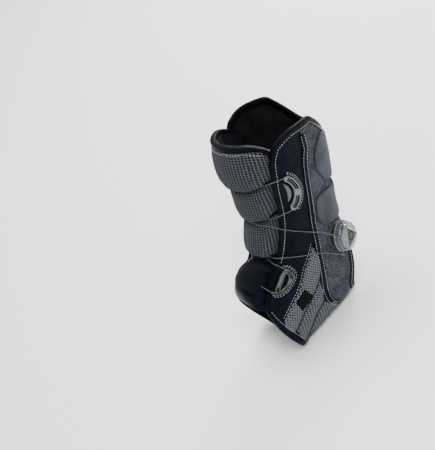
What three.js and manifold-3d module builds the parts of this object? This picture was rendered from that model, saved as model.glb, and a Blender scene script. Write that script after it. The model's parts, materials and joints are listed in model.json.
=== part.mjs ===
// Dial-tightened lace ankle brace for the left foot: a soft boot shaft with an open heel,
// a padded lacing tongue, a wire lace through moulded guides, a turning reel and two hook straps.
// Millimetres. Toes point along -Y, the lateral side of the foot is +X, +Z is up, the sole is at z = 0.
import * as THREE from "three";
import { mergeVertices } from "three/addons/utils/BufferGeometryUtils.js";
import Module from "manifold-3d";

const wasm = await Module();
wasm.setup();

// ---- driving dimensions -------------------------------------------------------------------
// The outer skin of the brace is a row of closed sections from above the rim (s = 0) to the front of
// the sole (s = 1). Each row: front y, front z, back y, back z, half width, squareness of its back half.
const SECTIONS = [
  [-12, 241, 98, 206, 45, 2],
  [-15, 216, 90, 180, 44, 2],
  [-19, 190, 82, 153, 43, 2],
  [-20, 160, 71, 124, 40, 2],
  [-26, 133, 60, 91, 38, 2],
  [-35, 114, 55, 52, 37.5, 2.1],
  [-45, 102, 52, 18, 37, 2.4],
  [-59, 96, 24, -1, 34, 3],
  [-71, 86, -14, -2, 36, 3.4],
  [-78, 69, -56, -2, 43, 3.4],
];
const MM_PER_S = 270;
const MM_PER_DEGREE = 0.8;

const GAP = 0.3;
const PANEL_INNER = -3;
const PANEL_OUTER = 0;
const BINDING_WIDTH = 4.5;
const BINDING_OUTER = 0.6;
const BINDING_INNER = -3.4;
const PANEL_INSET = BINDING_WIDTH + 0.6;
const POCKET_HALF = 2.6;
const TAPE_HALF = 4;
const TAPE_OUTER = 1;
const STRAP_INNER = GAP;
const STRAP_OUTER = 2.3;
const HOOK_THICKNESS = 0.7;
const TONGUE_CREASE = -4.6;
const TONGUE_INNER = -6.8;
const LINING_OUTER = -7.5;
const LINING_INNER = -8.6;
const BULGE = 2.2;
const CREASE_HALF = 1;
const TONGUE_RIM = 3;
const TONGUE_TUCK = 8;
const TONGUE_MM_PER_S = 210;
const LACE_RADIUS = 0.55;
const LACE_SIDES = 6;
const LACE_STEPS = 130;
const TUNNEL_RADIUS = 0.95;
const GUIDE_OUTER = 3.4;
const LACE_IN_GUIDE = 1.85;
const REEL_PLACE = [0.525, 126];
const SPOOL_LEVEL = 6.4;
const WINDING_RADIUS = 10.5;
const LACE_LEAVES_AT = 11.4;

// Half of the brace's outline as [s, degrees round from the front], from the back of the rim over the
// lateral peak, down the lacing edge and round the foot to the middle of the sole.
const EDGE_REAR = [[0.135, 180], [0.123, 160], [0.096, 147], [0.05, 131]];
const EDGE_TOP = [[0.022, 121], [0.024, 104], [0.033, 92], [0.055, 80]];
const EDGE_FRONT = [
  [0.08, 72], [0.13, 65.5], [0.2, 62], [0.3, 56.5], [0.4, 52.5],
  [0.5, 46], [0.59, 41], [0.66, 37.3], [0.76, 42], [0.86, 47.5], [0.93, 50],
];
const EDGE_FOOT = [[0.95, 56], [0.972, 67], [0.985, 80], [0.993, 100], [0.995, 120], [0.995, 145]];
const EDGE_SOLE = [0.995, 180];
const HEEL_TOP = [0.52, 180];
const HEEL_SIDE = [
  [0.53, 164], [0.563, 148], [0.608, 135], [0.65, 129], [0.695, 130], [0.735, 137], [0.757, 155],
];
const HEEL_FLOOR = [0.763, 180];
const STAY_LINE = [
  [0.073, 107], [0.125, 106.5], [0.16, 103.5], [0.2, 100.5], [0.3, 96.7], [0.4, 94.2], [0.5, 91.6],
  [0.56, 89.6], [0.66, 88.2], [0.745, 99], [0.8, 112], [0.82, 123], [0.82, 131],
];
const DIAGONAL_SEAM = [
  [0.5, 87.2], [0.54, 82], [0.6, 75], [0.668, 70], [0.758, 75], [0.835, 77.5], [0.893, 78.5],
];
const SOLE_CORNER = 133;

// ---- the outer skin -------------------------------------------------------------------------
const flat = (list) => new THREE.SplineCurve(list.map(([a, b]) => new THREE.Vector2(a, b)));
const frontLine = flat(SECTIONS.map((row) => [row[0], row[1]]));
const backLine = flat(SECTIONS.map((row) => [row[2], row[3]]));
const widthLine = flat(SECTIONS.map((row) => [row[4], row[5]]));
const clamp = (value, low, high) => Math.min(high, Math.max(low, value));
const mix = THREE.MathUtils.lerp;

function bareSkin(s, degrees) {
  const t = clamp(s, 0, 1);
  const [front, back, width] = [frontLine.getPoint(t), backLine.getPoint(t), widthLine.getPoint(t)];
  const angle = THREE.MathUtils.degToRad(degrees);
  const [c, n] = [Math.cos(angle), Math.sin(angle)];
  const power = c < 0 ? width.y : 2;
  const reach = (Math.abs(c) ** power + Math.abs(n) ** power) ** (-1 / power);
  const u = (1 - reach * c) / 2;
  const z = Math.max(0, mix(front.y, back.y, u));
  return new THREE.Vector3(width.x * reach * n, mix(front.x, back.x, u), z);
}

function skinNormal(s, degrees) {
  const t = clamp(s, 0.002, 0.998);
  const down = bareSkin(t + 0.001, degrees).sub(bareSkin(t - 0.001, degrees));
  const round = bareSkin(t, degrees + 0.1).sub(bareSkin(t, degrees - 0.1));
  const normal = down.cross(round).normalize();
  const centre = bareSkin(t, 0).add(bareSkin(t, 180)).multiplyScalar(0.5);
  return normal.dot(bareSkin(t, degrees).sub(centre)) < 0 ? normal.negate() : normal;
}

function skin(s, degrees, offset = 0) {
  return bareSkin(s, degrees).addScaledVector(skinNormal(s, degrees), offset);
}

// Paths on the skin are smooth curves in near-millimetre units.
function path(points, closed = false) {
  const list = closed ? [...points, points[0]] : points;
  const curve = flat(list.map(([s, degrees]) => [s * MM_PER_S, degrees * MM_PER_DEGREE]));
  curve.arcLengthDivisions = 40 * list.length;
  curve.isLoop = closed;
  return curve;
}

function onPath(curve, t) {
  const point = curve.getPointAt(curve.isLoop ? (t + 1) % 1 : clamp(t, 0, 1));
  return [point.x / MM_PER_S, point.y / MM_PER_DEGREE];
}

// The place that lies `distance` mm to the left of a path on the skin.
function beside(curve, t, distance) {
  const [s, degrees] = onPath(curve, t);
  const [beforeS, beforeD] = onPath(curve, t - 0.01);
  const [afterS, afterD] = onPath(curve, t + 0.01);
  const perS = bareSkin(s + 0.005, degrees).distanceTo(bareSkin(s - 0.005, degrees)) / 0.01;
  const perDegree = bareSkin(s, degrees + 0.5).distanceTo(bareSkin(s, degrees - 0.5));
  const along = new THREE.Vector2((afterS - beforeS) * perS, (afterD - beforeD) * perDegree);
  along.normalize();
  return [s - (along.y * distance) / perS, degrees + (along.x * distance) / perDegree];
}

function inset(points, distance, count = 8) {
  const curve = path(points);
  return Array.from({ length: count + 1 }, (_, i) => beside(curve, i / count, distance));
}

const mirrorList = (points) => points.map(([s, degrees]) => [s, 360 - degrees]).reverse();
const HALF_OUTLINE = [...EDGE_REAR.slice(1), ...EDGE_TOP, ...EDGE_FRONT, ...EDGE_FOOT];
const OUTLINE = [EDGE_REAR[0], ...HALF_OUTLINE, EDGE_SOLE, ...mirrorList(HALF_OUTLINE)];
const outline = path(OUTLINE, true);
const heelOutline = path([HEEL_TOP, ...HEEL_SIDE, HEEL_FLOOR, ...mirrorList(HEEL_SIDE)], true);

function nearestOn(curve, [s, degrees]) {
  const away = (i) => {
    const [a, b] = onPath(curve, i / 2000);
    return Math.hypot((a - s) * MM_PER_S, (b - degrees) * MM_PER_DEGREE);
  };
  let best = 0;
  for (let i = 1; i <= 2000; i++) if (away(i) < away(best)) best = i;
  return best / 2000;
}

// Places beside a closed outline, between the outline's places nearest a and b.
function insetBetween(curve, a, b, count, distance = PANEL_INSET) {
  const [start, end] = [nearestOn(curve, a), nearestOn(curve, b)];
  return Array.from({ length: count + 1 }, (_, i) => beside(curve, mix(start, end, i / count), distance));
}

// ---- closed bodies on the skin ----------------------------------------------------------------
function closedMesh(positions, triangles) {
  const geometry = new THREE.BufferGeometry();
  geometry.setAttribute("position", new THREE.Float32BufferAttribute(positions, 3));
  const corner = (i) => new THREE.Vector3().fromArray(positions, 3 * i);
  let volume = 0;
  for (let i = 0; i < triangles.length; i += 3) {
    volume += corner(triangles[i]).dot(corner(triangles[i + 1]).cross(corner(triangles[i + 2])));
  }
  geometry.setIndex(volume < 0 ? triangles.toReversed() : triangles);
  return geometry;
}

// A sheet with thickness: place(u, v) gives [s, degrees]; inner and outer are offsets from the skin.
function shell({ place, inner, outer, columns, rows, ring = false }) {
  const positions = [];
  const level = (value, s, degrees, u, v) =>
    typeof value === "function" ? value(s, degrees, u, v) : value;
  const lines = ring ? rows : rows + 1;
  for (const side of [outer, inner]) {
    for (let j = 0; j < lines; j++) {
      for (let i = 0; i <= columns; i++) {
        const [u, v] = [i / columns, j / rows];
        const [s, degrees] = place(u, v);
        positions.push(...skin(s, degrees, level(side, s, degrees, u, v)).toArray());
      }
    }
  }
  const half = lines * (columns + 1);
  const at = (i, j, layer) => layer * half + (j % lines) * (columns + 1) + i;
  const triangles = [];
  const quad = (a, b, c, d) => triangles.push(a, b, c, a, c, d);
  for (let j = 0; j < rows; j++) {
    for (let i = 0; i < columns; i++) {
      quad(at(i, j, 0), at(i + 1, j, 0), at(i + 1, j + 1, 0), at(i, j + 1, 0));
      quad(at(i, j, 1), at(i, j + 1, 1), at(i + 1, j + 1, 1), at(i + 1, j, 1));
    }
    quad(at(0, j, 0), at(0, j + 1, 0), at(0, j + 1, 1), at(0, j, 1));
    quad(at(columns, j, 0), at(columns, j, 1), at(columns, j + 1, 1), at(columns, j + 1, 0));
  }
  for (let i = 0; i < columns && !ring; i++) {
    quad(at(i, 0, 0), at(i, 0, 1), at(i + 1, 0, 1), at(i + 1, 0, 0));
    quad(at(i, rows, 0), at(i + 1, rows, 0), at(i + 1, rows, 1), at(i, rows, 1));
  }
  return closedMesh(positions, triangles);
}

// A four-sided panel: left and right run downwards; top and bottom list only their inner points.
function panel({ left, right, top = [], bottom = [], ...rest }) {
  const [a, b] = [path(left), path(right)];
  const [p, q] = [[left[0], right[0]], [left.at(-1), right.at(-1)]];
  const c = path([p[0], ...top, p[1]]);
  const d = path([q[0], ...bottom, q[1]]);
  const place = (u, v) => [0, 1].map((k) => {
    const sides = mix(onPath(a, v)[k], onPath(b, v)[k], u) + mix(onPath(c, u)[k], onPath(d, u)[k], v);
    return sides - mix(mix(p[0][k], p[1][k], u), mix(q[0][k], q[1][k], u), v);
  });
  return shell({ place, inner: PANEL_INNER, outer: PANEL_OUTER, ...rest });
}

// A band that runs along a path, from one distance beside it to another.
function band({ along, from, to, span = [0, 1], closed = false, columns = 1, ...rest }) {
  const curve = Array.isArray(along) ? path(along, closed) : along;
  const place = (u, v) => beside(curve, mix(...span, v), mix(from, to, u));
  return shell({ place, columns, ring: closed, ...rest });
}

function mirrored(geometry) {
  const positions = Array.from(geometry.attributes.position.array, (x, i) => (i % 3 ? x : -x));
  return closedMesh(positions, Array.from(geometry.index.array));
}

// ---- joins and cuts ---------------------------------------------------------------------------
function welded(geometry) {
  const copy = geometry.clone();
  copy.deleteAttribute("normal");
  copy.deleteAttribute("uv");
  return mergeVertices(copy, 1e-4);
}

function solid(geometry) {
  const clean = welded(geometry);
  const vertProperties = Float32Array.from(clean.attributes.position.array);
  const triVerts = Uint32Array.from(clean.index.array);
  return new wasm.Manifold(new wasm.Mesh({ numProp: 3, vertProperties, triVerts }));
}

function meshOf(manifold) {
  const mesh = manifold.getMesh();
  return closedMesh(Array.from(mesh.vertProperties), Array.from(mesh.triVerts));
}

const cut = (geometry, ...tools) =>
  meshOf(tools.reduce((body, tool) => body.subtract(solid(tool)), solid(geometry)));

// ---- the tongue -------------------------------------------------------------------------------
const crease = (middle, rise) => (degrees) => middle - rise * 1e-5 * degrees * degrees;
const TONGUE_TOP = (degrees) => 0.054 + 4.6e-5 * Math.max(0, Math.abs(degrees) - 42) ** 2;
const CREASES = [crease(0.26, 1), crease(0.409, 1.78), crease(0.606, 1.7)];
const TONGUE_END = crease(0.985, 2.3);
const tongueRows = [TONGUE_TOP, ...CREASES, TONGUE_END];

function edgeAngle(s) {
  const i = clamp(EDGE_FRONT.findIndex((point) => point[0] > s), 1, EDGE_FRONT.length - 1);
  const [[s0, d0], [s1, d1]] = [EDGE_FRONT[i - 1], EDGE_FRONT[i]];
  return mix(d0, d1, clamp((s - s0) / (s1 - s0), 0, 1));
}

function padLevel(s, degrees, v, bulge) {
  const side = THREE.MathUtils.smoothstep(edgeAngle(s) - 2 - Math.abs(degrees), 0, 16);
  return TONGUE_CREASE + (bulge - TONGUE_CREASE) * side * Math.sin(Math.PI * clamp(v, 0, 1)) ** 0.6;
}

const BULGES = [BULGE, BULGE, BULGE, -1.6];

// Part of the tongue between two of its cross lines, trimmed back from both by some mm.
function tonguePart(from, to, trimTop, trimBottom, rest) {
  const place = (u, v) => {
    const guess = mix(tongueRows[from](30), tongueRows[to](30), v);
    const degrees = mix(-1, 1, u) * (edgeAngle(guess) + TONGUE_TUCK);
    const top = tongueRows[from](degrees) + trimTop / TONGUE_MM_PER_S;
    const bottom = tongueRows[to](degrees) - trimBottom / TONGUE_MM_PER_S;
    return [mix(top, bottom, v), degrees];
  };
  return shell({ place, ...rest });
}

// Height of the tongue's face at a place, used where the lace lies on it.
function tongueFace(s, degrees) {
  const row = clamp(tongueRows.findIndex((line) => line(degrees) > s) - 1, 0, 3);
  const [top, bottom] = [tongueRows[row](degrees), tongueRows[row + 1](degrees)];
  return padLevel(s, degrees, (s - top) / (bottom - top), BULGES[row]);
}

// ---- the lace ---------------------------------------------------------------------------------
const reelCentre = skin(...REEL_PLACE, 0);
const reelAxis = skinNormal(...REEL_PLACE);
const reelDown = bareSkin(REEL_PLACE[0] + 0.01, REEL_PLACE[1]).sub(reelCentre);
reelDown.addScaledVector(reelAxis, -reelDown.dot(reelAxis)).normalize();
const reelFront = new THREE.Vector3().crossVectors(reelDown, reelAxis);
const reelFrame = new THREE.Matrix4().makeBasis(reelFront, reelDown.clone().negate(), reelAxis);
reelFrame.setPosition(reelCentre);
// A place at the reel: mm towards the front, mm down, mm out from the skin.
const atReel = (front, down, out) => new THREE.Vector3(front, -down, out).applyMatrix4(reelFrame);

const LATERAL_UPPER_GUIDE = [[0.211, 73.5], [0.232, 80], [0.275, 83], [0.318, 79], [0.352, 71]];
const MEDIAL_MIDDLE_GUIDE = [[0.468, 300], [0.488, 294.5], [0.518, 293], [0.547, 296], [0.566, 303]];
const LOWER_GUIDE = [
  [0.664, 51.5], [0.69, 57.5], [0.735, 61], [0.78, 61.2], [0.812, 57.5], [0.8, 54.5], [0.75, 52.8],
  [0.7, 50.5],
];
const LOWER_GUIDE_ARC = LOWER_GUIDE.slice(0, 5);
const onMedial = (points) => points.map(([s, degrees]) => [s, -degrees]);

function clearLevel(s, degrees, lift = 0) {
  const signed = degrees > 180 ? degrees - 360 : degrees;
  const onPanel = Math.abs(signed) > edgeAngle(s) - 4.5;
  const faces = [-0.005, 0, 0.005].map((step) => tongueFace(s + step, signed));
  const top = onPanel ? BINDING_OUTER : Math.max(...faces);
  return top + GAP + 0.3 + LACE_RADIUS + lift;
}
const onBrace = (points, lift = 0) =>
  points.map(([s, degrees]) => skin(s, degrees, clearLevel(s, degrees, lift)));
const inGuide = (points) => points.map(([s, degrees]) => skin(s, degrees, LACE_IN_GUIDE));
const TAPE_HOP = 0.5;
const CROSSING = 1.5;

const laceRoute = [
  atReel(0, -LACE_LEAVES_AT, SPOOL_LEVEL),
  atReel(6, -LACE_LEAVES_AT, SPOOL_LEVEL),
  atReel(12.5, -LACE_LEAVES_AT, SPOOL_LEVEL - 0.2),
  ...onBrace([[0.478, 99]], 2),
  ...onBrace([[0.472, 93]], TAPE_HOP),
  ...onBrace([[0.455, 78], [0.436, 61], [0.425, 51]]),
  ...onBrace([[0.415, 40], [0.41, 27], [0.409, 12], [0.408, -4], [0.402, -20]], CROSSING),
  ...onBrace([[0.392, -34], [0.381, -44], [0.373, -51], [0.366, -57], [0.36, -64]]),
  ...inGuide(onMedial(LATERAL_UPPER_GUIDE).reverse()),
  ...onBrace([[0.215, -67], [0.218, -59], [0.236, -46], [0.25, -32], [0.259, -12], [0.259, 12]]),
  ...onBrace([[0.25, 32], [0.236, 46], [0.218, 59], [0.215, 67]]),
  ...inGuide(LATERAL_UPPER_GUIDE),
  ...onBrace([[0.36, 64], [0.366, 57], [0.373, 51], [0.389, 35], [0.402, 20], [0.408, 6]]),
  ...onBrace([[0.41, -10], [0.416, -26]]),
  ...onBrace([[0.432, -40]], 1),
  ...onBrace([[0.444, -47], [0.458, -55]]),
  ...inGuide(MEDIAL_MIDDLE_GUIDE),
  ...onBrace([[0.576, -49], [0.586, -38], [0.597, -24], [0.605, -8], [0.606, 8], [0.608, 22]]),
  ...onBrace([[0.618, 30], [0.627, 36.5], [0.64, 43.5]]),
  ...inGuide(LOWER_GUIDE_ARC),
  ...onBrace([[0.82, 51], [0.815, 45]]),
  ...onBrace([[0.806, 36], [0.802, 25], [0.8, 9], [0.8, -9], [0.802, -25], [0.806, -36]]),
  ...onBrace([[0.815, -45], [0.82, -51]], 0.2),
  ...inGuide(onMedial(LOWER_GUIDE_ARC).reverse()),
  ...onBrace([[0.64, -43.5], [0.627, -36.5], [0.618, -30]], 0.2),
  ...onBrace([[0.61, -20], [0.606, -5], [0.603, 9], [0.598, 22], [0.592, 31]], CROSSING),
  ...onBrace([[0.586, 39], [0.575, 56], [0.569, 70], [0.566, 80]]),
  ...onBrace([[0.566, 89]], TAPE_HOP),
  ...onBrace([[0.57, 97]], 1.2),
  atReel(12.4, 12.5, SPOOL_LEVEL - 1.6),
  atReel(LACE_LEAVES_AT, 6.5, SPOOL_LEVEL),
  atReel(LACE_LEAVES_AT, 0, SPOOL_LEVEL),
];
const laceCurve = new THREE.CatmullRomCurve3(laceRoute, false, "centripetal");

function roundShape(radius, sides) {
  const corners = Array.from({ length: sides }, (_, i) => {
    const turn = (2 * Math.PI * i) / sides;
    return new THREE.Vector2(radius * Math.cos(turn), radius * Math.sin(turn));
  });
  return new THREE.Shape(corners);
}

function laceTube(radius) {
  const settings = { steps: LACE_STEPS, extrudePath: laceCurve };
  return welded(new THREE.ExtrudeGeometry(roundShape(radius, LACE_SIDES), settings));
}
const tunnel = laceTube(TUNNEL_RADIUS);

// ---- the reel, in its own frame, axis along +Z --------------------------------------------------
function turned(profile, segments = 24) {
  const points = [...profile, profile[0]].map(([r, z]) => new THREE.Vector2(r, z));
  return welded(new THREE.LatheGeometry(points, segments).rotateX(Math.PI / 2));
}

function placed(geometry) {
  return closedMesh(Array.from(geometry.clone().applyMatrix4(reelFrame).attributes.position.array),
    Array.from(geometry.index.array));
}

const ringProfile = (inside, outside, low, high) =>
  [[inside, low], [outside, low], [outside, high], [inside, high]];

const HOUSING = { radius: 15, inside: 12.7, floor: 3.1, deck: 4.3, rim: 9.6 };
const SPOOL = { core: 8, flange: 12.1, bore: 2.4, low: 4.7, high: 8.1, lip: 0.7 };
const DIAL = { radius: 14.6, low: 9.9, high: 14, bore: 4.3, lobes: 15, depth: 0.7, bevel: 0.9 };
const AXLE = { radius: 2, head: 3.6, low: 3.4, neck: 13, high: 13.8 };

function housingShape() {
  const { radius, inside, floor, deck, rim } = HOUSING;
  const profile = [
    [AXLE.radius + GAP, floor], [radius + 1, floor], [radius + 1, floor + 1], [radius, floor + 3],
    [radius - 0.4, rim], [inside, rim], [inside, deck], [AXLE.radius + GAP, deck],
  ];
  return cut(placed(turned(profile, 30)), tunnel);
}

function spoolShape() {
  const { core, flange, bore, low, high, lip } = SPOOL;
  return placed(turned([
    [bore, low], [flange, low], [flange, low + lip], [core, low + lip],
    [core, high - lip], [flange, high - lip], [flange, high], [bore, high],
  ]));
}

function dialShape() {
  const { radius, low, high, bore, lobes, depth, bevel } = DIAL;
  const rim = Array.from({ length: lobes * 4 }, (_, i) => {
    const turn = (2 * Math.PI * i) / (lobes * 4);
    const r = radius - bevel - (i % 4 < 2 ? 0 : depth);
    return new THREE.Vector2(r * Math.cos(turn), r * Math.sin(turn));
  });
  const hole = new THREE.Path(roundShape(bore + bevel, 20).getPoints().reverse());
  const shape = new THREE.Shape(rim);
  shape.holes.push(hole);
  const settings = {
    depth: high - low - bevel, bevelEnabled: true, bevelSegments: 1, bevelThickness: bevel, bevelSize: bevel,
  };
  const body = welded(new THREE.ExtrudeGeometry(shape, settings).translate(0, 0, low));
  const under = welded(new THREE.CylinderGeometry(radius + 5, radius + 5, 4, 24).rotateX(Math.PI / 2)
    .translate(0, 0, low - 2));
  return placed(cut(body, under));
}

// ---- finishes -------------------------------------------------------------------------------------
const finish = (color, roughness, metalness = 0) =>
  new THREE.MeshStandardMaterial({ color, roughness, metalness });
const SOFTSHELL = finish(0x141a26, 0.7);
const LOOP = finish(0x34343c, 0.95);
const MESH_CLOTH = finish(0x4a4a50, 0.9);
const BINDING = finish(0x1c1f2a, 0.8);
const STRAP = finish(0x5a5d66, 0.75);
const HOOK = finish(0x16171a, 0.9);
const LINING = finish(0x202127, 0.95);
const GUIDE = finish(0x9a9ca2, 0.45);
const REEL_SILVER = finish(0xb4b8bc, 0.35, 0.2);
const REEL_DARK = finish(0x4b4e46, 0.5);
const STEEL = finish(0x8d9096, 0.3, 0.9);
const STAY = finish(0xd8d8d2, 0.5);
const LABEL = finish(0x0b0b0c, 0.4);

// ---- assembly ---------------------------------------------------------------------------------
const brace = new THREE.Group();
function add(name, geometry, material) {
  const mesh = new THREE.Mesh(geometry, material);
  mesh.name = name;
  brace.add(mesh);
}
function addPair(name, geometry, material) {
  add(`lateral_${name}`, geometry, material);
  add(`medial_${name}`, mirrored(geometry), material);
}

const POCKET_START = [0.05, 106.5];
const REAR_SPLIT = 165;
const [startS, startDegrees] = POCKET_START;
const seamFront = inset(STAY_LINE.slice(0, 7), -POCKET_HALF - GAP, 9);
seamFront.unshift([startS, startDegrees - GAP]);
const seamRear = inset(STAY_LINE, POCKET_HALF + GAP, 14);
seamRear.unshift([startS, startDegrees + GAP]);
const diagonal = (side, first) => inset([...DIAGONAL_SEAM.slice(first), [0.955, 76]], side * GAP, 9);

function sidePanels() {
  const lacingEdge = insetBetween(outline, [0.06, 78.5], [0.935, 51], 12);
  const rim = insetBetween(outline, [0.06, 78.5], [0.024, 104], 3);
  const toe = insetBetween(outline, [0.935, 51], [0.983, 76], 3);
  addPair("panel", panel({
    left: lacingEdge,
    right: [...seamFront.slice(0, 10), ...diagonal(-1, 1)],
    top: [rim[1], rim[2]],
    bottom: [toe[1], toe[2]],
    columns: 5, rows: 18,
  }), SOFTSHELL);
  const peak = insetBetween(outline, [0.023, 110], [0.128, 166], 5);
  const heel = insetBetween(heelOutline, [0.54, 158], [0.71, 132.5], 7, -PANEL_INSET - 0.3);
  addPair("rear_panel", panel({
    left: seamRear,
    right: [
      [peak[5][0], REAR_SPLIT], [0.2, REAR_SPLIT], [0.32, REAR_SPLIT], [0.43, REAR_SPLIT],
      [0.49, REAR_SPLIT], ...heel, [0.765, SOLE_CORNER - 1], [0.793, SOLE_CORNER - 1],
    ],
    top: peak.slice(1, 5),
    columns: 7, rows: 18,
  }), LOOP);
  const foot = insetBetween(outline, [0.984, 79], [0.995, 131.5], 3);
  addPair("mesh_quarter", panel({
    left: [...inset([[0.53, 84], ...DIAGONAL_SEAM.slice(2), [0.955, 76]], GAP, 9), foot[0]],
    right: [...inset(STAY_LINE.slice(7), -POCKET_HALF - 2 * GAP, 8), [0.87, SOLE_CORNER - 1], foot[3]],
    bottom: [foot[1], foot[2]],
    columns: 6, rows: 12,
  }), MESH_CLOTH);
}

function rearAndSole() {
  const side = REAR_SPLIT + 1;
  const edge = (degrees) => [[0.152, degrees], [0.2, degrees], [0.32, degrees], [0.49, degrees]];
  add("achilles_panel", panel({
    left: edge(side), right: edge(360 - side), top: [[0.157, 180]], bottom: [[0.49, 180]],
    columns: 4, rows: 8,
  }), LOOP);
  const toe = insetBetween(outline, [0.995, SOLE_CORNER], [0.995, 360 - SOLE_CORNER], 4);
  const heel = insetBetween(heelOutline, [0.745, 142], [0.745, 218], 6, -PANEL_INSET);
  const sideLine = (end, mirror) => [[0.749, SOLE_CORNER], [0.79, SOLE_CORNER], [end[0], SOLE_CORNER]]
    .map(([s, degrees]) => [s, mirror ? 360 - degrees : degrees]);
  add("sole_strap", panel({
    left: sideLine(toe[0], false), right: sideLine(toe[4], true),
    top: heel, bottom: toe.slice(1, 4),
    columns: 11, rows: 6,
  }), MESH_CLOTH);
}

function bindings() {
  const edge = { from: 0, to: BINDING_WIDTH, inner: BINDING_INNER, outer: BINDING_OUTER };
  const onSole = (s, degrees) => (Math.abs(degrees - 180) < 52 && s > 0.7 ? 0 : BINDING_OUTER);
  const joint = 0.0004;
  const stretch = (a, b) => [nearestOn(outline, a) + joint, nearestOn(outline, b) - joint];
  const [shoulder, toe] = [[0.022, 118], [0.94, 52]];
  const mirror = ([s, degrees]) => [s, 360 - degrees];
  const alongRim = { along: outline, ...edge };
  addPair("front_binding", band({ ...alongRim, span: stretch(shoulder, toe), rows: 32 }), BINDING);
  const footSpan = stretch(toe, mirror(toe));
  add("foot_binding", band({ ...alongRim, span: footSpan, rows: 40, outer: onSole }), BINDING);
  const [start, end] = stretch(mirror(shoulder), shoulder);
  add("rear_top_binding", band({ ...alongRim, span: [start, 1 + end], rows: 24 }), BINDING);
  add("heel_binding", band({ ...edge, along: heelOutline, closed: true, from: -BINDING_WIDTH, to: 0,
    rows: 36, outer: onSole }), BINDING);
}

function stays() {
  const pocket = { along: STAY_LINE, rows: 22, columns: 2 };
  const tape = { ...pocket, from: -TAPE_HALF, to: TAPE_HALF, inner: GAP + 0.15, outer: TAPE_OUTER };
  addPair("stay_tape", band(tape), BINDING);
  addPair("stay_lining", band({ ...tape, inner: -4.4, outer: -3.6 }), LINING);
  const bar = { along: STAY_LINE.slice(0, 9), span: [0.04, 1], rows: 12, from: -1.8, to: 1.8 };
  addPair("stay", band({ ...bar, inner: -2.4, outer: -0.6 }), STAY);
}

function tongue() {
  const names = ["upper_pad", "middle_pad", "lower_pad", "instep_pad"];
  const trims = [TONGUE_RIM + GAP, CREASE_HALF, CREASE_HALF, CREASE_HALF, TONGUE_RIM + 2];
  names.forEach((name, row) => {
    const outer = (s, degrees, u, v) => padLevel(s, degrees, v, BULGES[row]);
    const shape = { inner: TONGUE_INNER, outer, columns: 10, rows: 6 };
    const pad = tonguePart(row, row + 1, trims[row], trims[row + 1], shape);
    add(`tongue_${name}`, pad, row === 3 ? SOFTSHELL : MESH_CLOTH);
  });
  const lining = { inner: LINING_INNER, outer: LINING_OUTER, columns: 10, rows: 16 };
  add("tongue_lining", tonguePart(0, 4, trims[0], trims[4], lining), LINING);
  const rim = (line, degrees) => Array.from({ length: 9 }, (_, i) => {
    const d = mix(-degrees, degrees, i / 8);
    return [line(d), d];
  });
  const hem = { inner: LINING_INNER, outer: TONGUE_CREASE + 0.8, rows: 14 };
  add("tongue_top_binding", band({ along: rim(TONGUE_TOP, 74), from: -TONGUE_RIM, to: 0, ...hem }), BINDING);
  add("tongue_foot_binding", band({ along: rim(TONGUE_END, 52), from: 0, to: TONGUE_RIM, ...hem }), BINDING);
  const cover = (u, v) => {
    const s = mix(0.69, 0.9, v);
    return [s, mix(-1, 1, u) * (edgeAngle(s) - 9)];
  };
  const above = (rise) => (s, degrees) => tongueFace(s, degrees) + rise;
  const coverShape = { place: cover, inner: above(2.3), outer: above(3.3), columns: 8, rows: 6 };
  add("instep_cover", shell(coverShape), SOFTSHELL);
}

function guides() {
  const plate = { inner: GAP, outer: GUIDE_OUTER };
  const upper = band({ along: LATERAL_UPPER_GUIDE, from: -3.4, to: 3.4, rows: 14, ...plate });
  add("lateral_upper_guide", cut(upper, tunnel), GUIDE);
  add("medial_upper_guide", cut(mirrored(upper), tunnel), GUIDE);
  const padLine = [[0.24, 73], [0.272, 74.8], [0.305, 71.8]];
  addPair("guide_pad", band({ along: padLine, from: -1.7, to: 1.7, rows: 5, inner: GAP, outer: 2.2 }), GUIDE);
  const middle = band({ along: MEDIAL_MIDDLE_GUIDE, from: -3.2, to: 3.2, rows: 10, ...plate });
  add("medial_middle_guide", cut(middle, tunnel), GUIDE);
  const lower = band({ along: LOWER_GUIDE, closed: true, from: -2, to: 2, rows: 26, ...plate });
  add("lateral_lower_guide", cut(lower, tunnel), GUIDE);
  add("medial_lower_guide", cut(mirrored(lower), tunnel), GUIDE);
}

function reel() {
  const [s0, d0] = REEL_PLACE;
  const disc = (u, v) => {
    const [a, b] = [2 * u - 1, 2 * v - 1];
    const [x, y] = [a * Math.sqrt(1 - (b * b) / 2), b * Math.sqrt(1 - (a * a) / 2)];
    return [s0 + (y * 15.5) / 300, d0 + (x * 15.5) / 0.78];
  };
  add("reel_flange", shell({ place: disc, inner: GAP, outer: 1.2, columns: 6, rows: 6 }), REEL_DARK);
  add("reel_base", placed(turned(ringProfile(AXLE.radius + GAP, 11, 1.6, 2.8))), REEL_DARK);
  add("reel_housing", housingShape(), REEL_SILVER);
  add("lace_spool", spoolShape(), REEL_DARK);
  add("lace_winding", placed(turned(ringProfile(SPOOL.core + GAP, WINDING_RADIUS,
    SPOOL.low + SPOOL.lip + GAP, SPOOL.high - SPOOL.lip - GAP))), STEEL);
  add("pawl_ring", placed(turned(ringProfile(5, 12, 8.5, 9.5), 24)), REEL_DARK);
  add("reel_dial", dialShape(), REEL_DARK);
  add("release_collar", placed(turned(ringProfile(AXLE.radius + GAP, 3.9, 9.9, 10.8), 20)), REEL_DARK);
  add("axle_screw", placed(turned([
    [0, AXLE.low], [AXLE.radius, AXLE.low], [AXLE.radius, AXLE.neck], [AXLE.head, AXLE.neck],
    [AXLE.head, AXLE.high], [0, AXLE.high],
  ], 20)), REEL_DARK);
}

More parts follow.
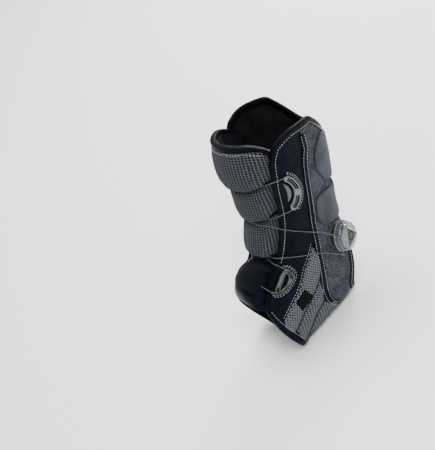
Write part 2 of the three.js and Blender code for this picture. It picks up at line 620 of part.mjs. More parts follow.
function straps() {
  const hinge = 211;
  const upperTab = {
    left: [[0.132, 127], [0.163, 118.5], [0.199, 114], [0.233, 113.5], [0.263, 116], [0.293, 122]],
    right: [[0.165, hinge], [0.25, hinge], [0.33, hinge]],
    top: [[0.12, 138], [0.142, 158], [0.16, 180], [0.164, 196]],
    bottom: [[0.308, 132], [0.326, 154], [0.332, 180], [0.332, 196]],
  };
  const lowerTab = {
    left: [[0.342, 108.5], [0.358, 103.5], [0.391, 101], [0.426, 101], [0.452, 103.5]],
    right: [[0.35, hinge], [0.4, hinge], [0.458, hinge]],
    top: [[0.339, 120], [0.348, 142], [0.35, 165], [0.35, 190]],
    bottom: [[0.462, 116], [0.463, 135], [0.462, 165], [0.46, 190]],
  };
  const tab = { inner: STRAP_INNER + HOOK_THICKNESS + GAP, outer: STRAP_OUTER + 0.6 };
  add("upper_strap_tab", panel({ ...upperTab, ...tab, columns: 12, rows: 6 }), STRAP);
  add("lower_strap_tab", panel({ ...lowerTab, ...tab, columns: 12, rows: 4 }), STRAP);
  const hook = { inner: STRAP_INNER, outer: STRAP_INNER + HOOK_THICKNESS, columns: 4, rows: 3 };
  const upperHook = { left: [[0.165, 122], [0.27, 122]], right: [[0.16, 152], [0.3, 152]] };
  const lowerHook = { left: [[0.36, 108], [0.445, 108]], right: [[0.36, 140], [0.45, 140]] };
  add("upper_hook_patch", panel({ ...hook, ...upperHook }), HOOK);
  add("lower_hook_patch", panel({ ...hook, ...lowerHook }), HOOK);
  const base = { ...tab, inner: GAP, columns: 3, rows: 3 };
  const root = (top, bottom) => panel({ ...base, left: [[top, hinge + 1.6], [bottom, hinge + 1.6]],
    right: [[top, 240], [bottom, 240]] });
  add("upper_strap_base", root(0.168, 0.328), STRAP);
  add("lower_strap_base", root(0.352, 0.456), STRAP);
}

sidePanels();
rearAndSole();
bindings();
stays();
tongue();
guides();
reel();
straps();
add("side_label", panel({ left: [[0.784, 80.8], [0.84, 81]], right: [[0.81, 92], [0.866, 93]],
  inner: GAP, outer: 0.9, columns: 2, rows: 2 }), LABEL);
add("lace", laceTube(LACE_RADIUS), STEEL);
export default brace;
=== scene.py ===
import json
import math

import bmesh
import bpy
import numpy as np
from mathutils import Matrix, Vector
from mathutils.bvhtree import BVHTree


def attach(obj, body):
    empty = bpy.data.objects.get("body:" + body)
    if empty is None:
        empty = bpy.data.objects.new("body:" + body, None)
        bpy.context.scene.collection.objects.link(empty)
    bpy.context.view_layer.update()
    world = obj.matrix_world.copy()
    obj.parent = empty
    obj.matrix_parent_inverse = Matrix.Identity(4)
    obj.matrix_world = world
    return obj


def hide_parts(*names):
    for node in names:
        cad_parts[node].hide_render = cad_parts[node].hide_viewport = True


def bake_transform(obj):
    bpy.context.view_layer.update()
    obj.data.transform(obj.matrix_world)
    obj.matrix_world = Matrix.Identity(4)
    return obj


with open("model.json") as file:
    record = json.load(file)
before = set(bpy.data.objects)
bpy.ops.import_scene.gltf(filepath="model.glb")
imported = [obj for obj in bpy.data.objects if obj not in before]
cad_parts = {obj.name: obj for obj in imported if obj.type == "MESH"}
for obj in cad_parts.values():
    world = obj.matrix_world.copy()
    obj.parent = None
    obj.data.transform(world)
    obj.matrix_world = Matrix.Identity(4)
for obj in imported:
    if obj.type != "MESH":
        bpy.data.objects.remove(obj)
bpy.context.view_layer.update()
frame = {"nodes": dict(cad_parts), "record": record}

MM = 0.001

# ---- the brace's outer skin, in mm, with toes along -Y and the lateral side along +X ----
# Sections from above the rim (s = 0) to the front of the sole (s = 1):
# front y, front z, back y, back z, half width, squareness of the back half.
SECTIONS = np.array([
    [-12, 241, 98, 206, 45, 2],
    [-15, 216, 90, 180, 44, 2],
    [-19, 190, 82, 153, 43, 2],
    [-20, 160, 71, 124, 40, 2],
    [-26, 133, 60, 91, 38, 2],
    [-35, 114, 55, 52, 37.5, 2.1],
    [-45, 102, 52, 18, 37, 2.4],
    [-59, 96, 24, -1, 34, 3],
    [-71, 86, -14, -2, 36, 3.4],
    [-78, 69, -56, -2, 43, 3.4],
], float)
MM_PER_S = 270
MM_PER_DEGREE = 0.8

# Outlines as [s, degrees round from the front].
EDGE_REAR = [[0.135, 180], [0.123, 160], [0.096, 147], [0.05, 131]]
EDGE_TOP = [[0.022, 121], [0.024, 104], [0.033, 92], [0.055, 80]]
EDGE_FRONT = [
    [0.08, 72], [0.13, 65.5], [0.2, 62], [0.3, 56.5], [0.4, 52.5],
    [0.5, 46], [0.59, 41], [0.66, 37.3], [0.76, 42], [0.86, 47.5], [0.93, 50],
]
EDGE_FOOT = [[0.95, 56], [0.972, 67], [0.985, 80], [0.993, 100], [0.995, 120], [0.995, 145]]
EDGE_SOLE = [0.995, 180]
HEEL_TOP = [0.52, 180]
HEEL_SIDE = [
    [0.53, 164], [0.563, 148], [0.608, 135], [0.65, 129], [0.695, 130], [0.735, 137], [0.757, 155],
]
HEEL_FLOOR = [0.763, 180]
STAY_LINE = [
    [0.073, 107], [0.125, 106.5], [0.16, 103.5], [0.2, 100.5], [0.3, 96.7], [0.4, 94.2], [0.5, 91.6],
    [0.56, 89.6], [0.66, 88.2], [0.745, 99], [0.8, 112], [0.82, 123], [0.82, 131],
]
DIAGONAL_SEAM = [
    [0.5, 87.2], [0.54, 82], [0.6, 75], [0.668, 70], [0.758, 75], [0.835, 77.5], [0.893, 78.5], [0.955, 76],
]
SOLE_CORNER = 133


def opposite(points):
    """The same path on the other side of the brace."""
    return [[s, 360 - degrees] for s, degrees in points]


def mirror(points):
    return opposite(points)[::-1]


HALF_OUTLINE = EDGE_REAR[1:] + EDGE_TOP + EDGE_FRONT + EDGE_FOOT
OUTLINE = [EDGE_REAR[0]] + HALF_OUTLINE + [EDGE_SOLE] + mirror(HALF_OUTLINE)
HEEL_OUTLINE = [HEEL_TOP] + HEEL_SIDE + [HEEL_FLOOR] + mirror(HEEL_SIDE)


def catmull(table, t):
    """A smooth curve through the rows of a table, for t from 0 to 1."""
    table = np.asarray(table, float)
    last = len(table) - 1
    place = np.clip(np.asarray(t, float), 0, 1) * last
    i = np.minimum(place.astype(int), last)
    f = (place - i)[..., None]
    a, b, c, d = (table[np.clip(i + k, 0, last)] for k in (-1, 0, 1, 2))
    v, w = (c - a) / 2, (d - b) / 2
    return (2 * b - 2 * c + v + w) * f ** 3 + (-3 * b + 3 * c - 2 * v - w) * f ** 2 + v * f + b


def bare(s, degrees):
    """Points of the skin itself."""
    row = catmull(SECTIONS, s)
    angle = np.radians(degrees)
    c, n = np.cos(angle), np.sin(angle)
    power = np.where(c < 0, row[..., 5], 2.0)
    reach = (np.abs(c) ** power + np.abs(n) ** power) ** (-1 / power)
    u = (1 - reach * c) / 2
    y = row[..., 0] + (row[..., 2] - row[..., 0]) * u
    z = row[..., 1] + (row[..., 3] - row[..., 1]) * u
    return np.stack([row[..., 4] * reach * n, y, np.maximum(z, 0)], -1)


def normal(s, degrees):
    t = np.clip(s, 0.002, 0.998)
    down = bare(t + 0.001, degrees) - bare(t - 0.001, degrees)
    round_ = bare(t, degrees + 0.1) - bare(t, degrees - 0.1)
    n = np.cross(down, round_)
    n /= np.linalg.norm(n, axis=-1, keepdims=True) + 1e-12
    centre = (bare(t, 0 * degrees) + bare(t, 0 * degrees + 180)) / 2
    side = np.sum(n * (bare(t, degrees) - centre), -1, keepdims=True)
    return np.where(side < 0, -n, n)


def skin(s, degrees, offset=0.0):
    s, degrees, offset = np.broadcast_arrays(*(np.asarray(x, float) for x in (s, degrees, offset)))
    return bare(s, degrees) + normal(s, degrees) * offset[..., None]


def along(points, t, closed=False):
    """Places on a path, evenly spaced by its length; returns s and degrees."""
    table = np.array(points + points[:1] if closed else points, float) * [MM_PER_S, MM_PER_DEGREE]
    dense = catmull(table, np.linspace(0, 1, 60 * len(table)))
    length = np.concatenate([[0], np.cumsum(np.linalg.norm(np.diff(dense, axis=0), axis=1))])
    t = np.asarray(t, float)
    t = t % 1.0 if closed else np.clip(t, 0, 1)
    at = t * length[-1]
    return np.interp(at, length, dense[:, 0]) / MM_PER_S, np.interp(at, length, dense[:, 1]) / MM_PER_DEGREE


def beside(points, t, distance, closed=False):
    """Places that lie some mm to the left of a path on the skin."""
    s, degrees = along(points, t, closed)
    s0, d0 = along(points, np.asarray(t) - 0.004, closed)
    s1, d1 = along(points, np.asarray(t) + 0.004, closed)
    per_s = np.linalg.norm(bare(s + 0.005, degrees) - bare(s - 0.005, degrees), axis=-1) / 0.01
    per_degree = np.linalg.norm(bare(s, degrees + 0.5) - bare(s, degrees - 0.5), axis=-1)
    a, b = (s1 - s0) * per_s, (d1 - d0) * per_degree
    size = np.hypot(a, b) + 1e-12
    return s - b / size * distance / per_s, degrees + a / size * distance / per_degree


def pairs(s, degrees):
    return [[float(a), float(b)] for a, b in zip(s, degrees)]


def inset(points, distance, count=12, closed=False, span=(0, 1)):
    return pairs(*beside(points, np.linspace(*span, count + 1), distance, closed))


def nearest(points, place):
    t = np.linspace(0, 1, 2001)
    s, degrees = along(points, t, closed=True)
    away = np.hypot((s - place[0]) * MM_PER_S, (degrees - place[1]) * MM_PER_DEGREE)
    return float(t[away.argmin()])


def inset_between(points, a, b, count, distance):
    return inset(points, distance, count, True, (nearest(points, a), nearest(points, b)))


def coons(left, right, top=(), bottom=()):
    """Places inside four edges; left and right run down, top and bottom list only their inner points."""
    corners = [left[0], right[0], left[-1], right[-1]]
    top = [left[0], *top, right[0]]
    bottom = [left[-1], *bottom, right[-1]]

    def place(u, v):
        out = []
        a, b, c, d = along(left, v), along(right, v), along(top, u), along(bottom, u)
        for k in (0, 1):
            p, q, r, w = (corner[k] for corner in corners)
            sides = a[k] + (b[k] - a[k]) * u + c[k] + (d[k] - c[k]) * v
            upper, lower = p + (q - p) * u, r + (w - r) * u
            out.append(sides - (upper + (lower - upper) * v))
        return out
    return place


def smooth(x, low, high):
    t = np.clip((x - low) / (high - low), 0, 1)
    return t * t * (3 - 2 * t)


def noise(points, scale, seed):
    """Soft lumps from a few sine waves; points in mm."""
    draw = np.random.default_rng(seed)
    total = 0
    for _ in range(5):
        way = draw.normal(size=3)
        way /= np.linalg.norm(way)
        size = scale * draw.uniform(0.7, 1.5)
        total = total + np.sin(points @ way * (2 * np.pi / size) + draw.uniform(0, 6.28)) / 5
    return total


# ---- meshes ----
def new_object(name, points, faces, uv=None, face_slots=None):
    mesh = bpy.data.meshes.new(name)
    mesh.from_pydata([tuple(p) for p in np.asarray(points) * MM], [], faces)
    mesh.polygons.foreach_set("use_smooth", [True] * len(mesh.polygons))
    if uv is not None:
        layer = mesh.uv_layers.new(name="cloth")
        index = np.zeros(len(mesh.loops), int)
        mesh.loops.foreach_get("vertex_index", index)
        layer.data.foreach_set("uv", np.asarray(uv, np.float32)[index].ravel())
    if face_slots is not None:
        mesh.polygons.foreach_set("material_index", face_slots)
    mesh.update()
    thing = bpy.data.objects.new(name, mesh)
    bpy.context.scene.collection.objects.link(thing)
    return thing


def solid(name, points, faces, *materials, uv=None, face_slots=None):
    """A closed mesh with its faces turned outwards."""
    thing = new_object(name, points, faces, uv, face_slots)
    work = bmesh.new()
    work.from_mesh(thing.data)
    bmesh.ops.recalc_face_normals(work, faces=work.faces[:])
    if work.calc_volume(signed=True) < 0:
        bmesh.ops.reverse_faces(work, faces=work.faces[:])
    work.to_mesh(thing.data)
    work.free()
    for material in materials:
        thing.data.materials.append(material)
    return thing


def grid_faces(rows, columns, ring_rows=False, ring_columns=False, start=0):
    faces = []
    for j in range(rows if ring_rows else rows - 1):
        below = (j + 1) % rows
        for i in range(columns if ring_columns else columns - 1):
            beyond = (i + 1) % columns
            corners = (j, i), (j, beyond), (below, beyond), (below, i)
            faces.append([start + row * columns + column for row, column in corners])
    return faces


def sleeve_faces(rings, count, closed=False, start=0):
    """Faces of a run of rings; an open run is capped."""
    faces = grid_faces(rings, count, closed, True, start)
    if not closed:
        last = start + (rings - 1) * count
        faces += [list(range(start, start + count))[::-1], list(range(last, last + count))]
    return faces


def run_lengths(points, axis):
    step = np.linalg.norm(np.diff(points, axis=axis), axis=-1)
    shape = list(step.shape)
    shape[axis] = 1
    return np.concatenate([np.zeros(shape), np.cumsum(step, axis=axis)], axis=axis)


def edge_spacing(count, share):
    """Even steps from 0 to 1 with three finer ones at each end."""
    ends = np.array([0, 0.12, 0.4]) * share
    middle = np.linspace(share, 1 - share, count)
    return np.concatenate([ends, middle, 1 - ends[::-1]])


RIM_ROUNDNESS = 0.92


def near_edges(left, right, top, bottom):
    return np.minimum(np.minimum(left, right), np.minimum(top, bottom))


def sheet(name, place, columns, rows, level, thickness, round_mm=1.4, *, material, lining=None,
          share=(0.02, 0.01)):
    """A soft panel on the skin with rounded rims. level(s, degrees, left, right, top, bottom) is the
    height of its face in mm; the last four are the distances from its edges."""
    u, v = np.meshgrid(edge_spacing(columns, share[0]), edge_spacing(rows, share[1]))
    s, degrees = place(u, v)
    base = bare(s, degrees)
    across, down = run_lengths(base, 1), run_lengths(base, 0)
    left, right = across, across[:, -1:] - across
    top, bottom = down, down[-1:] - down
    near = near_edges(left, right, top, bottom)
    face = level(s, degrees, left, right, top, bottom)
    drop = 1 - np.sqrt(np.clip(1 - (1 - np.clip(near / round_mm, 0, 1)) ** 2, 0, 1))
    half = thickness / 2
    outer = face - drop * half * RIM_ROUNDNESS
    inner = face - thickness + drop * half * RIM_ROUNDNESS
    points = np.concatenate([skin(s, degrees, side).reshape(-1, 3) for side in (outer, inner)])
    lines, line = s.shape
    front = grid_faces(lines, line)
    back = [corners[::-1] for corners in grid_faces(lines, line, start=lines * line)]
    rim = [j * line for j in range(lines)][::-1] + list(range(line))
    rim += [j * line + line - 1 for j in range(1, lines)]
    rim += [(lines - 1) * line + i for i in range(line - 2, 0, -1)]
    rim = list(dict.fromkeys(rim))
    walls = [[a, b, b + lines * line, a + lines * line] for a, b in zip(rim, rim[1:] + rim[:1])]
    uv = np.stack([across, down], -1).reshape(-1, 2)
    slots = [0] * len(front) + [1 if lining else 0] * len(back) + [0] * len(walls)
    materials = [material, lining] if lining else [material]
    return solid(name, points, front + back + walls, *materials, uv=np.concatenate([uv, uv]),
                 face_slots=slots)


def sweep(name, points, profile, steps, material, closed=False, lift=None, span=(0, 1),
          closed_path=False):
    """A closed section of [mm beside the path, mm off the skin], swept along a path on the skin."""
    t = np.linspace(*span, steps, endpoint=not closed)
    section = np.array(profile, float)
    tt, dd = np.meshgrid(t, section[:, 0], indexing="ij")
    s, degrees = beside(points, tt, dd, closed or closed_path)
    off = section[None, :, 1] + 0 * tt
    if lift is not None:
        off = off + lift(s, degrees, tt)
    length = run_lengths(bare(s, degrees), 0)
    round_ = np.concatenate([[0], np.cumsum(np.hypot(*np.diff(section, axis=0).T))])
    uv = np.stack([np.broadcast_to(round_, s.shape), length], -1).reshape(-1, 2)
    faces = sleeve_faces(len(t), len(section), closed)
    return solid(name, skin(s, degrees, off).reshape(-1, 3), faces, material, uv=uv)


def tube(name, centres, radius, sides, material):
    """A round tube along points in mm."""
    centres = np.asarray(centres, float)
    ahead = np.gradient(centres, axis=0)
    ahead /= np.linalg.norm(ahead, axis=1, keepdims=True) + 1e-12
    side = np.zeros_like(centres)
    start = np.cross(ahead[0], [0.3, 0.2, 1])
    side[0] = start / np.linalg.norm(start)
    for i in range(1, len(centres)):
        across = side[i - 1] - ahead[i] * (side[i - 1] @ ahead[i])
        side[i] = across / (np.linalg.norm(across) + 1e-12)
    up = np.cross(ahead, side)
    turn = np.linspace(0, 2 * np.pi, sides, endpoint=False)
    out = np.cos(turn)[None, :, None] * side[:, None] + np.sin(turn)[None, :, None] * up[:, None]
    ring = centres[:, None] + radius * out
    length = np.concatenate([[0], np.cumsum(np.linalg.norm(np.diff(centres, axis=0), axis=1))])
    uv = np.stack(np.broadcast_arrays(turn[None], length[:, None]), -1).reshape(-1, 2)
    return solid(name, ring.reshape(-1, 3), sleeve_faces(len(centres), sides), material, uv=uv)


STITCH_LENGTH = 2.0
STITCH_PITCH = 3.1
STITCH_RADIUS = 0.24
STITCH_SAG = 0.7
STITCH_REACH = 0.43
THREAD_SIDES = 6


def stitches(name, runs, material):
    """Rows of short thread loops. A run is the points in mm that its row follows and their normals."""
    points, faces = [], []
    share = np.array([-1, -0.7, 0, 0.7, 1])
    width = np.array([0.25, 0.85, 1, 0.85, 0.25])
    turn = np.linspace(0, 2 * np.pi, THREAD_SIDES, endpoint=False)[None, :, None]
    sag = (1 - share ** 2) * STITCH_RADIUS * STITCH_SAG
    for centre, up in runs:
        centre, up = np.asarray(centre, float), np.asarray(up, float)
        run = np.concatenate([[0], np.cumsum(np.linalg.norm(np.diff(centre, axis=0), axis=1))])
        for at in np.arange(STITCH_PITCH / 2, run[-1] - STITCH_LENGTH / 2, STITCH_PITCH):
            where = at + share * STITCH_LENGTH / 2
            middle = np.stack([np.interp(where, run, centre[:, k]) for k in range(3)], -1)
            lift = np.array([np.interp(at, run, up[:, k]) for k in range(3)])
            lift /= np.linalg.norm(lift) + 1e-12
            way = middle[-1] - middle[0]
            way /= np.linalg.norm(way) + 1e-12
            side = np.cross(way, lift)
            thick = STITCH_RADIUS * width[:, None, None]
            rings = middle[:, None] + lift * sag[:, None, None]
            rings = rings + thick * (np.cos(turn) * side + np.sin(turn) * lift)
            faces += sleeve_faces(len(share), THREAD_SIDES, start=len(points))
            points.extend(rings.reshape(-1, 3))
    return solid(name, points, faces, material)


# ---- finishes ----
class Finish:
    """A node material under construction."""

    def __init__(self, name):
        self.material = bpy.data.materials.new(name)
        self.material.use_nodes = True
        self.tree = self.material.node_tree
        self.shader = self.tree.nodes["Principled BSDF"]

    def put(self, socket, value):
        if isinstance(value, bpy.types.NodeSocket):
            self.tree.links.new(value, socket)
        elif isinstance(value, (int, float)) or len(value) != 3 or socket.type == "VECTOR":
            socket.default_value = value
        else:
            socket.default_value = (*value, 1)

    def node(self, kind, inputs=(), output=0, **settings):
        made = self.tree.nodes.new(kind)
        for key, value in settings.items():
            setattr(made, key, value)
        for key, value in dict(inputs).items():
            self.put(made.inputs[key], value)
        return made.outputs[output]

    def math(self, operation, *values):
        return self.node("ShaderNodeMath", dict(enumerate(values)), operation=operation)

    def times(self, value, share):
        return self.math("MULTIPLY", value, share)

    def plus(self, value, share, base):
        """A share of a value on top of a base."""
        return self.math("MULTIPLY_ADD", value, share, base)

    def noise(self, size_mm, detail=3.0, stretch=(1, 1, 1), rough=0.55):
        place = self.node("ShaderNodeTexCoord", output="Object")
        wide = self.node("ShaderNodeMapping", {"Vector": place, "Scale": stretch})
        inputs = {"Vector": wide, "Scale": 1000 / size_mm, "Detail": detail, "Roughness": rough}
        return self.node("ShaderNodeTexNoise", inputs)

    def ramp(self, value, low, high, to_low=0.0, to_high=1.0):
        inputs = {"Value": value, 1: low, 2: high, 3: to_low, 4: to_high}
        return self.node("ShaderNodeMapRange", inputs, interpolation_type="SMOOTHSTEP")

    def mix(self, share, a, b):
        inputs = {0: share, 6: a, 7: b}
        return self.node("ShaderNodeMix", inputs, 2, data_type="RGBA", clamp_factor=True)

    def cloth_place(self):
        place = self.node("ShaderNodeUVMap", uv_map="cloth")
        split = self.tree.nodes.new("ShaderNodeSeparateXYZ")
        self.tree.links.new(place, split.inputs[0])
        return split.outputs[0], split.outputs[1]

    def waves(self, value, pitch, shift=0.0):
        return self.math("SINE", self.plus(value, 2 * math.pi / pitch, shift))

    def cell(self, value, pitch, shift=0.0):
        """Distance from the middle of the nearest cell, in mm."""
        return self.math("PINGPONG", self.math("ADD", value, shift), pitch / 2)

    def done(self, colour, roughness, height=None, depth_mm=0.15, **sockets):
        self.put(self.shader.inputs["Base Color"], colour)
        self.put(self.shader.inputs["Roughness"], roughness)
        if height is not None:
            inputs = {"Height": height, "Strength": 1.0, "Distance": depth_mm * MM}
            bump = self.node("ShaderNodeBump", inputs)
            self.put(self.shader.inputs["Normal"], bump)
        for key, value in sockets.items():
            self.put(self.shader.inputs[key.replace("_", " ")], value)
        return self.material


def woven(name, dark, light, pitch, kind, fuzz, depth, rough=(0.6, 0.85), sheen=0.08, blotch_mm=14,
          gloss=0.04, crumple_mm=0.0):
    """Cloth in twill, rib or plain weave, with blotches of wear; a crumple makes it uneven to the light."""
    f = Finish(name)
    x, y = f.cloth_place()
    if kind == "twill":
        weave = f.waves(f.math("ADD", x, y), pitch)
    elif kind == "rib":
        weave = f.plus(f.waves(x, pitch * 0.7), 0.35, f.waves(y, pitch))
    else:
        weave = f.times(f.waves(x, pitch), f.waves(y, pitch, 0.8))
    fine = f.noise(0.5, 4)
    blotch = f.noise(blotch_mm, 2)
    shade = f.plus(f.ramp(blotch, 0.3, 0.72), 0.6, f.times(fine, fuzz))
    shade = f.plus(weave, 0.12, shade)
    colour = f.mix(shade, dark, light)
    height = f.plus(fine, fuzz * 2, f.times(weave, 0.5))
    if crumple_mm:
        height = f.plus(f.noise(11, 2, (1, 1, 1.7)), crumple_mm / depth, height)
    roughness = f.ramp(f.noise(blotch_mm * 0.7, 3), 0.3, 0.7, *rough)
    return f.done(colour, roughness, height, depth, Sheen_Weight=sheen, Sheen_Roughness=0.4,
                  Sheen_Tint=(0.6, 0.65, 0.75), Specular_IOR_Level=gloss)


def fleece(name, dark, light, sheen):
    """Brushed loop cloth with hairs, tufts and cloudy patches."""
    f = Finish(name)
    hairs = f.noise(0.9, 6, (1, 1, 0.55), 0.75)
    tufts = f.noise(2.6, 4, rough=0.7)
    cloudy = f.noise(16, 2)
    tufted = f.times(f.ramp(tufts, 0.35, 0.7), 0.4)
    shade = f.plus(f.ramp(hairs, 0.35, 0.7), 0.75, tufted)
    shade = f.times(shade, f.ramp(cloudy, 0.25, 0.75, 0.6, 1.1))
    height = f.plus(hairs, 0.8, tufts)
    return f.done(f.mix(shade, dark, light), 0.95, height, 0.5, Sheen_Weight=sheen, Sheen_Roughness=0.6,
                  Sheen_Tint=(0.7, 0.75, 0.9), Specular_IOR_Level=0.05)


def holed(name, thread_dark, thread_light, hole, pitch, size, square=False, depth=0.5, rows=1.732):
    """Knitted mesh with round holes in offset rows, or square holes; rows is their spacing in pitches."""
    f = Finish(name)
    x, y = f.cloth_place()
    wobble = f.plus(f.noise(4, 2), 0.5, -0.25)
    x, y = f.math("ADD", x, wobble), f.math("ADD", y, wobble)
    if square:
        gap = f.math("MAXIMUM", f.cell(x, pitch), f.cell(y, pitch * 0.9))
        open_ = f.ramp(gap, size * 0.72, size, 1, 0)
    else:
        squares = [f.math("POWER", f.cell(value, step, shift * step), 2.0)
                   for shift in (0, 0.5) for value, step in ((x, pitch), (y, pitch * rows))]
        closest = f.math("MINIMUM", f.math("ADD", *squares[:2]), f.math("ADD", *squares[2:]))
        gap = f.math("SQRT", closest)
        open_ = f.ramp(gap, size * 0.7, size, 1, 0)
    yarn = f.waves(f.plus(x, 0.5, y), 0.42)
    fine = f.noise(0.6, 4)
    shade = f.plus(yarn, 0.18, f.ramp(fine, 0.25, 0.75))
    colour = f.mix(open_, f.mix(shade, thread_dark, thread_light), hole)
    knit = f.plus(fine, 0.25, f.times(yarn, 0.08))
    height = f.plus(open_, -1.0, knit)
    return f.done(colour, 0.8, height, depth, Sheen_Weight=0.03, Specular_IOR_Level=0.08)


WEAR = 0.12


def moulded(name, colour, rough, grain_mm=0.8, depth=0.03, **sockets):
    """Moulded plastic or metal with a fine grain and handling marks."""
    f = Finish(name)
    grain, marks = f.noise(grain_mm, 4), f.noise(7, 5, rough=0.7)
    worn = f.ramp(marks, 0.55, 0.75)
    lighter = tuple(min(1, c * (1 + WEAR) + 0.02) for c in colour)
    shade = f.mix(f.times(worn, 0.7), colour, lighter)
    uneven = f.plus(grain, 0.4, f.times(marks, 0.6))
    roughness = f.ramp(uneven, 0.3, 0.7, *rough)
    return f.done(shade, roughness, grain, depth, **sockets)


def cable(name, dark, light):
    """Twisted steel strands along a tube."""
    f = Finish(name)
    turn, run = f.cloth_place()
    twist = f.plus(run, 2 * math.pi / 1.1, f.times(turn, 3.0))
    strands = f.math("SINE", twist)
    colour = f.mix(f.ramp(strands, -1, 1), dark, light)
    return f.done(colour, 0.35, strands, 0.06, Metallic=0.6, Coat_Weight=0.15)


SOFTSHELL = woven("softshell", (0.0003, 0.0007, 0.0022), (0.002, 0.0037, 0.0105), 0.5, "plain", 0.45, 0.05,
                  (0.28, 0.44), 0.0, gloss=0.05, crumple_mm=1.1)
FLEECE = fleece("loop_fleece", (0.001, 0.001, 0.002), (0.092, 0.096, 0.122), 0.03)
SPACER = holed("spacer_mesh", (0.055, 0.06, 0.071), (0.16, 0.171, 0.197), (0.001, 0.001, 0.0014), 2.6, 0.98,
               rows=2.15)
GRID = holed("tongue_mesh", (0.028, 0.031, 0.039), (0.1, 0.107, 0.127), (0.001, 0.001, 0.0015), 2.8, 0.98,
             True, 0.8)
NAVY_GRID = holed("navy_mesh", (0.0006, 0.001, 0.003), (0.003, 0.0047, 0.0115), (0.0003, 0.0003, 0.0006),
                  2.4, 0.8, True, 0.4)
BINDING = woven("binding_tape", (0.0005, 0.0007, 0.0014), (0.0022, 0.0027, 0.0048), 0.55, "rib", 0.25, 0.06,
                (0.34, 0.5), 0.0, 9, gloss=0.05)
NAVY_BINDING = woven("foot_tape", (0.0008, 0.0013, 0.0034), (0.003, 0.0042, 0.0095), 0.55, "rib", 0.3, 0.06,
                     (0.4, 0.6), 0.0, 9)
TAPE = woven("pocket_tape", (0.0006, 0.0011, 0.0028), (0.0028, 0.0045, 0.0105), 0.6, "twill", 0.35, 0.06,
             (0.4, 0.6), 0.0, gloss=0.05)
LINING = woven("lining_cloth", (0.002, 0.002, 0.0026), (0.010, 0.010, 0.012), 0.9, "plain", 0.5, 0.15,
               sheen=0.06)
STRAP = woven("strap_cloth", (0.027, 0.029, 0.037), (0.054, 0.058, 0.073), 0.5, "plain", 0.45, 0.07,
              (0.6, 0.8), 0.1, 20)
STRAP_UNDER = woven("strap_backing", (0.01, 0.01, 0.012), (0.03, 0.03, 0.034), 0.5, "plain", 0.5, 0.1)
THREAD = woven("white_thread", (0.28, 0.29, 0.32), (0.55, 0.56, 0.6), 0.35, "twill", 0.3, 0.05, (0.55, 0.7))
LABEL = woven("label_satin", (0.0004, 0.0004, 0.0005), (0.001, 0.001, 0.0012), 0.35, "rib", 0.2, 0.05,
              (0.3, 0.45), 0.0, gloss=0.05)
GUIDE = moulded("guide_plastic", (0.11, 0.115, 0.128), (0.26, 0.4), Coat_Weight=0.1)
GUIDE_PAD = moulded("pad_plastic", (0.055, 0.058, 0.067), (0.3, 0.45))
RING = moulded("ring_plastic", (0.045, 0.047, 0.055), (0.14, 0.28), Coat_Weight=0.35, Coat_Roughness=0.1)
SLOT = moulded("slot_shadow", (0.004, 0.004, 0.004), (0.7, 0.9))
SILVER = moulded("reel_silver", (0.13, 0.139, 0.16), (0.2, 0.34), 0.5, 0.02, Metallic=0.6)
OLIVE = moulded("reel_dark", (0.03, 0.032, 0.025), (0.3, 0.42), Specular_IOR_Level=0.15)
STEEL = moulded("steel", (0.36, 0.36, 0.38), (0.2, 0.35), 0.5, 0.02, Metallic=1.0)
HOOK = moulded("hook_plastic", (0.008, 0.008, 0.009), (0.6, 0.8), 0.9, 0.5)
STAY = moulded("stay_plastic", (0.05, 0.05, 0.052), (0.4, 0.55))
LACE = cable("lace_steel", (0.03, 0.031, 0.034), (0.12, 0.122, 0.132))
# A pale colour for the painted highlight along the dial's face.
PAINTED_HIGHLIGHT = moulded("dial_painted_highlight", (0.7, 0.7, 0.68), (0.35, 0.5))

nodes = frame["nodes"]
bodies = frame["record"]["behaviour"]["bodies"]
body_of = {node: body for body, members in bodies.items() for node in members}


def stand_for(thing, slot, name):
    """A look that takes the place of a CAD node and rides its body."""
    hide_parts(name)
    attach(thing, body_of[name])
    return thing


def part_of(thing, body="brace"):
    """A look with no CAD node of its own."""
    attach(thing, body)
    return thing


def dress(name, material):
    """A finish on a CAD node that stays as it is."""
    nodes[name].data.materials.clear()
    nodes[name].data.materials.append(material)


def on_side(side, place):
    """A panel's places on one side of the brace; they are drawn on the lateral side."""
    def other(u, v):
        s, degrees = place(u, v)
        return s, 360 - degrees
    return place if side == "lateral" else other


def distance_to(points, s, degrees):
    a, b = along(points, np.linspace(0, 1, 80))
    gap = np.hypot((s[..., None] - a) * MM_PER_S, (degrees[..., None] - b) * MM_PER_DEGREE)
    return gap.min(-1)


# ---- the shell: panels, mesh quarters, sole ----
FACE_DROP = 0.1
LUMP_MM = 15.0
ANKLE_S, ANKLE_SPREAD = 0.53, 0.09
FOLD_MM, FOLD_HEIGHT = 8.5, 1.6


def shell_level(puff, lumps, seed):
    """A softly lumpy face with folds across the bend of the ankle."""
    def level(s, degrees, *edges):
        inside = smooth(near_edges(*edges), 3.0, 14.0)
        place = bare(s, degrees)
        soft = noise(place * [1, 1, 0.7], LUMP_MM, seed)
        flex = np.exp(-((s - ANKLE_S) / ANKLE_SPREAD) ** 2)
        folds = np.maximum(0, noise(place * [0.35, 0.35, 1.0], FOLD_MM, seed + 50))
        return -FACE_DROP + inside * (puff + lumps * soft + FOLD_HEIGHT * flex * folds)
    return level


RIB_VALLEYS = [
    [[0.64, 93], [0.705, 91], [0.79, 95], [0.893, 101], [0.97, 104]],
    [[0.79, 108], [0.817, 112], [0.883, 117], [0.934, 124], [0.985, 134]],
]
VALLEY_LEVEL, VALLEY_WIDTH = -1.6, 3.4
RIB_HEIGHT = 3.1


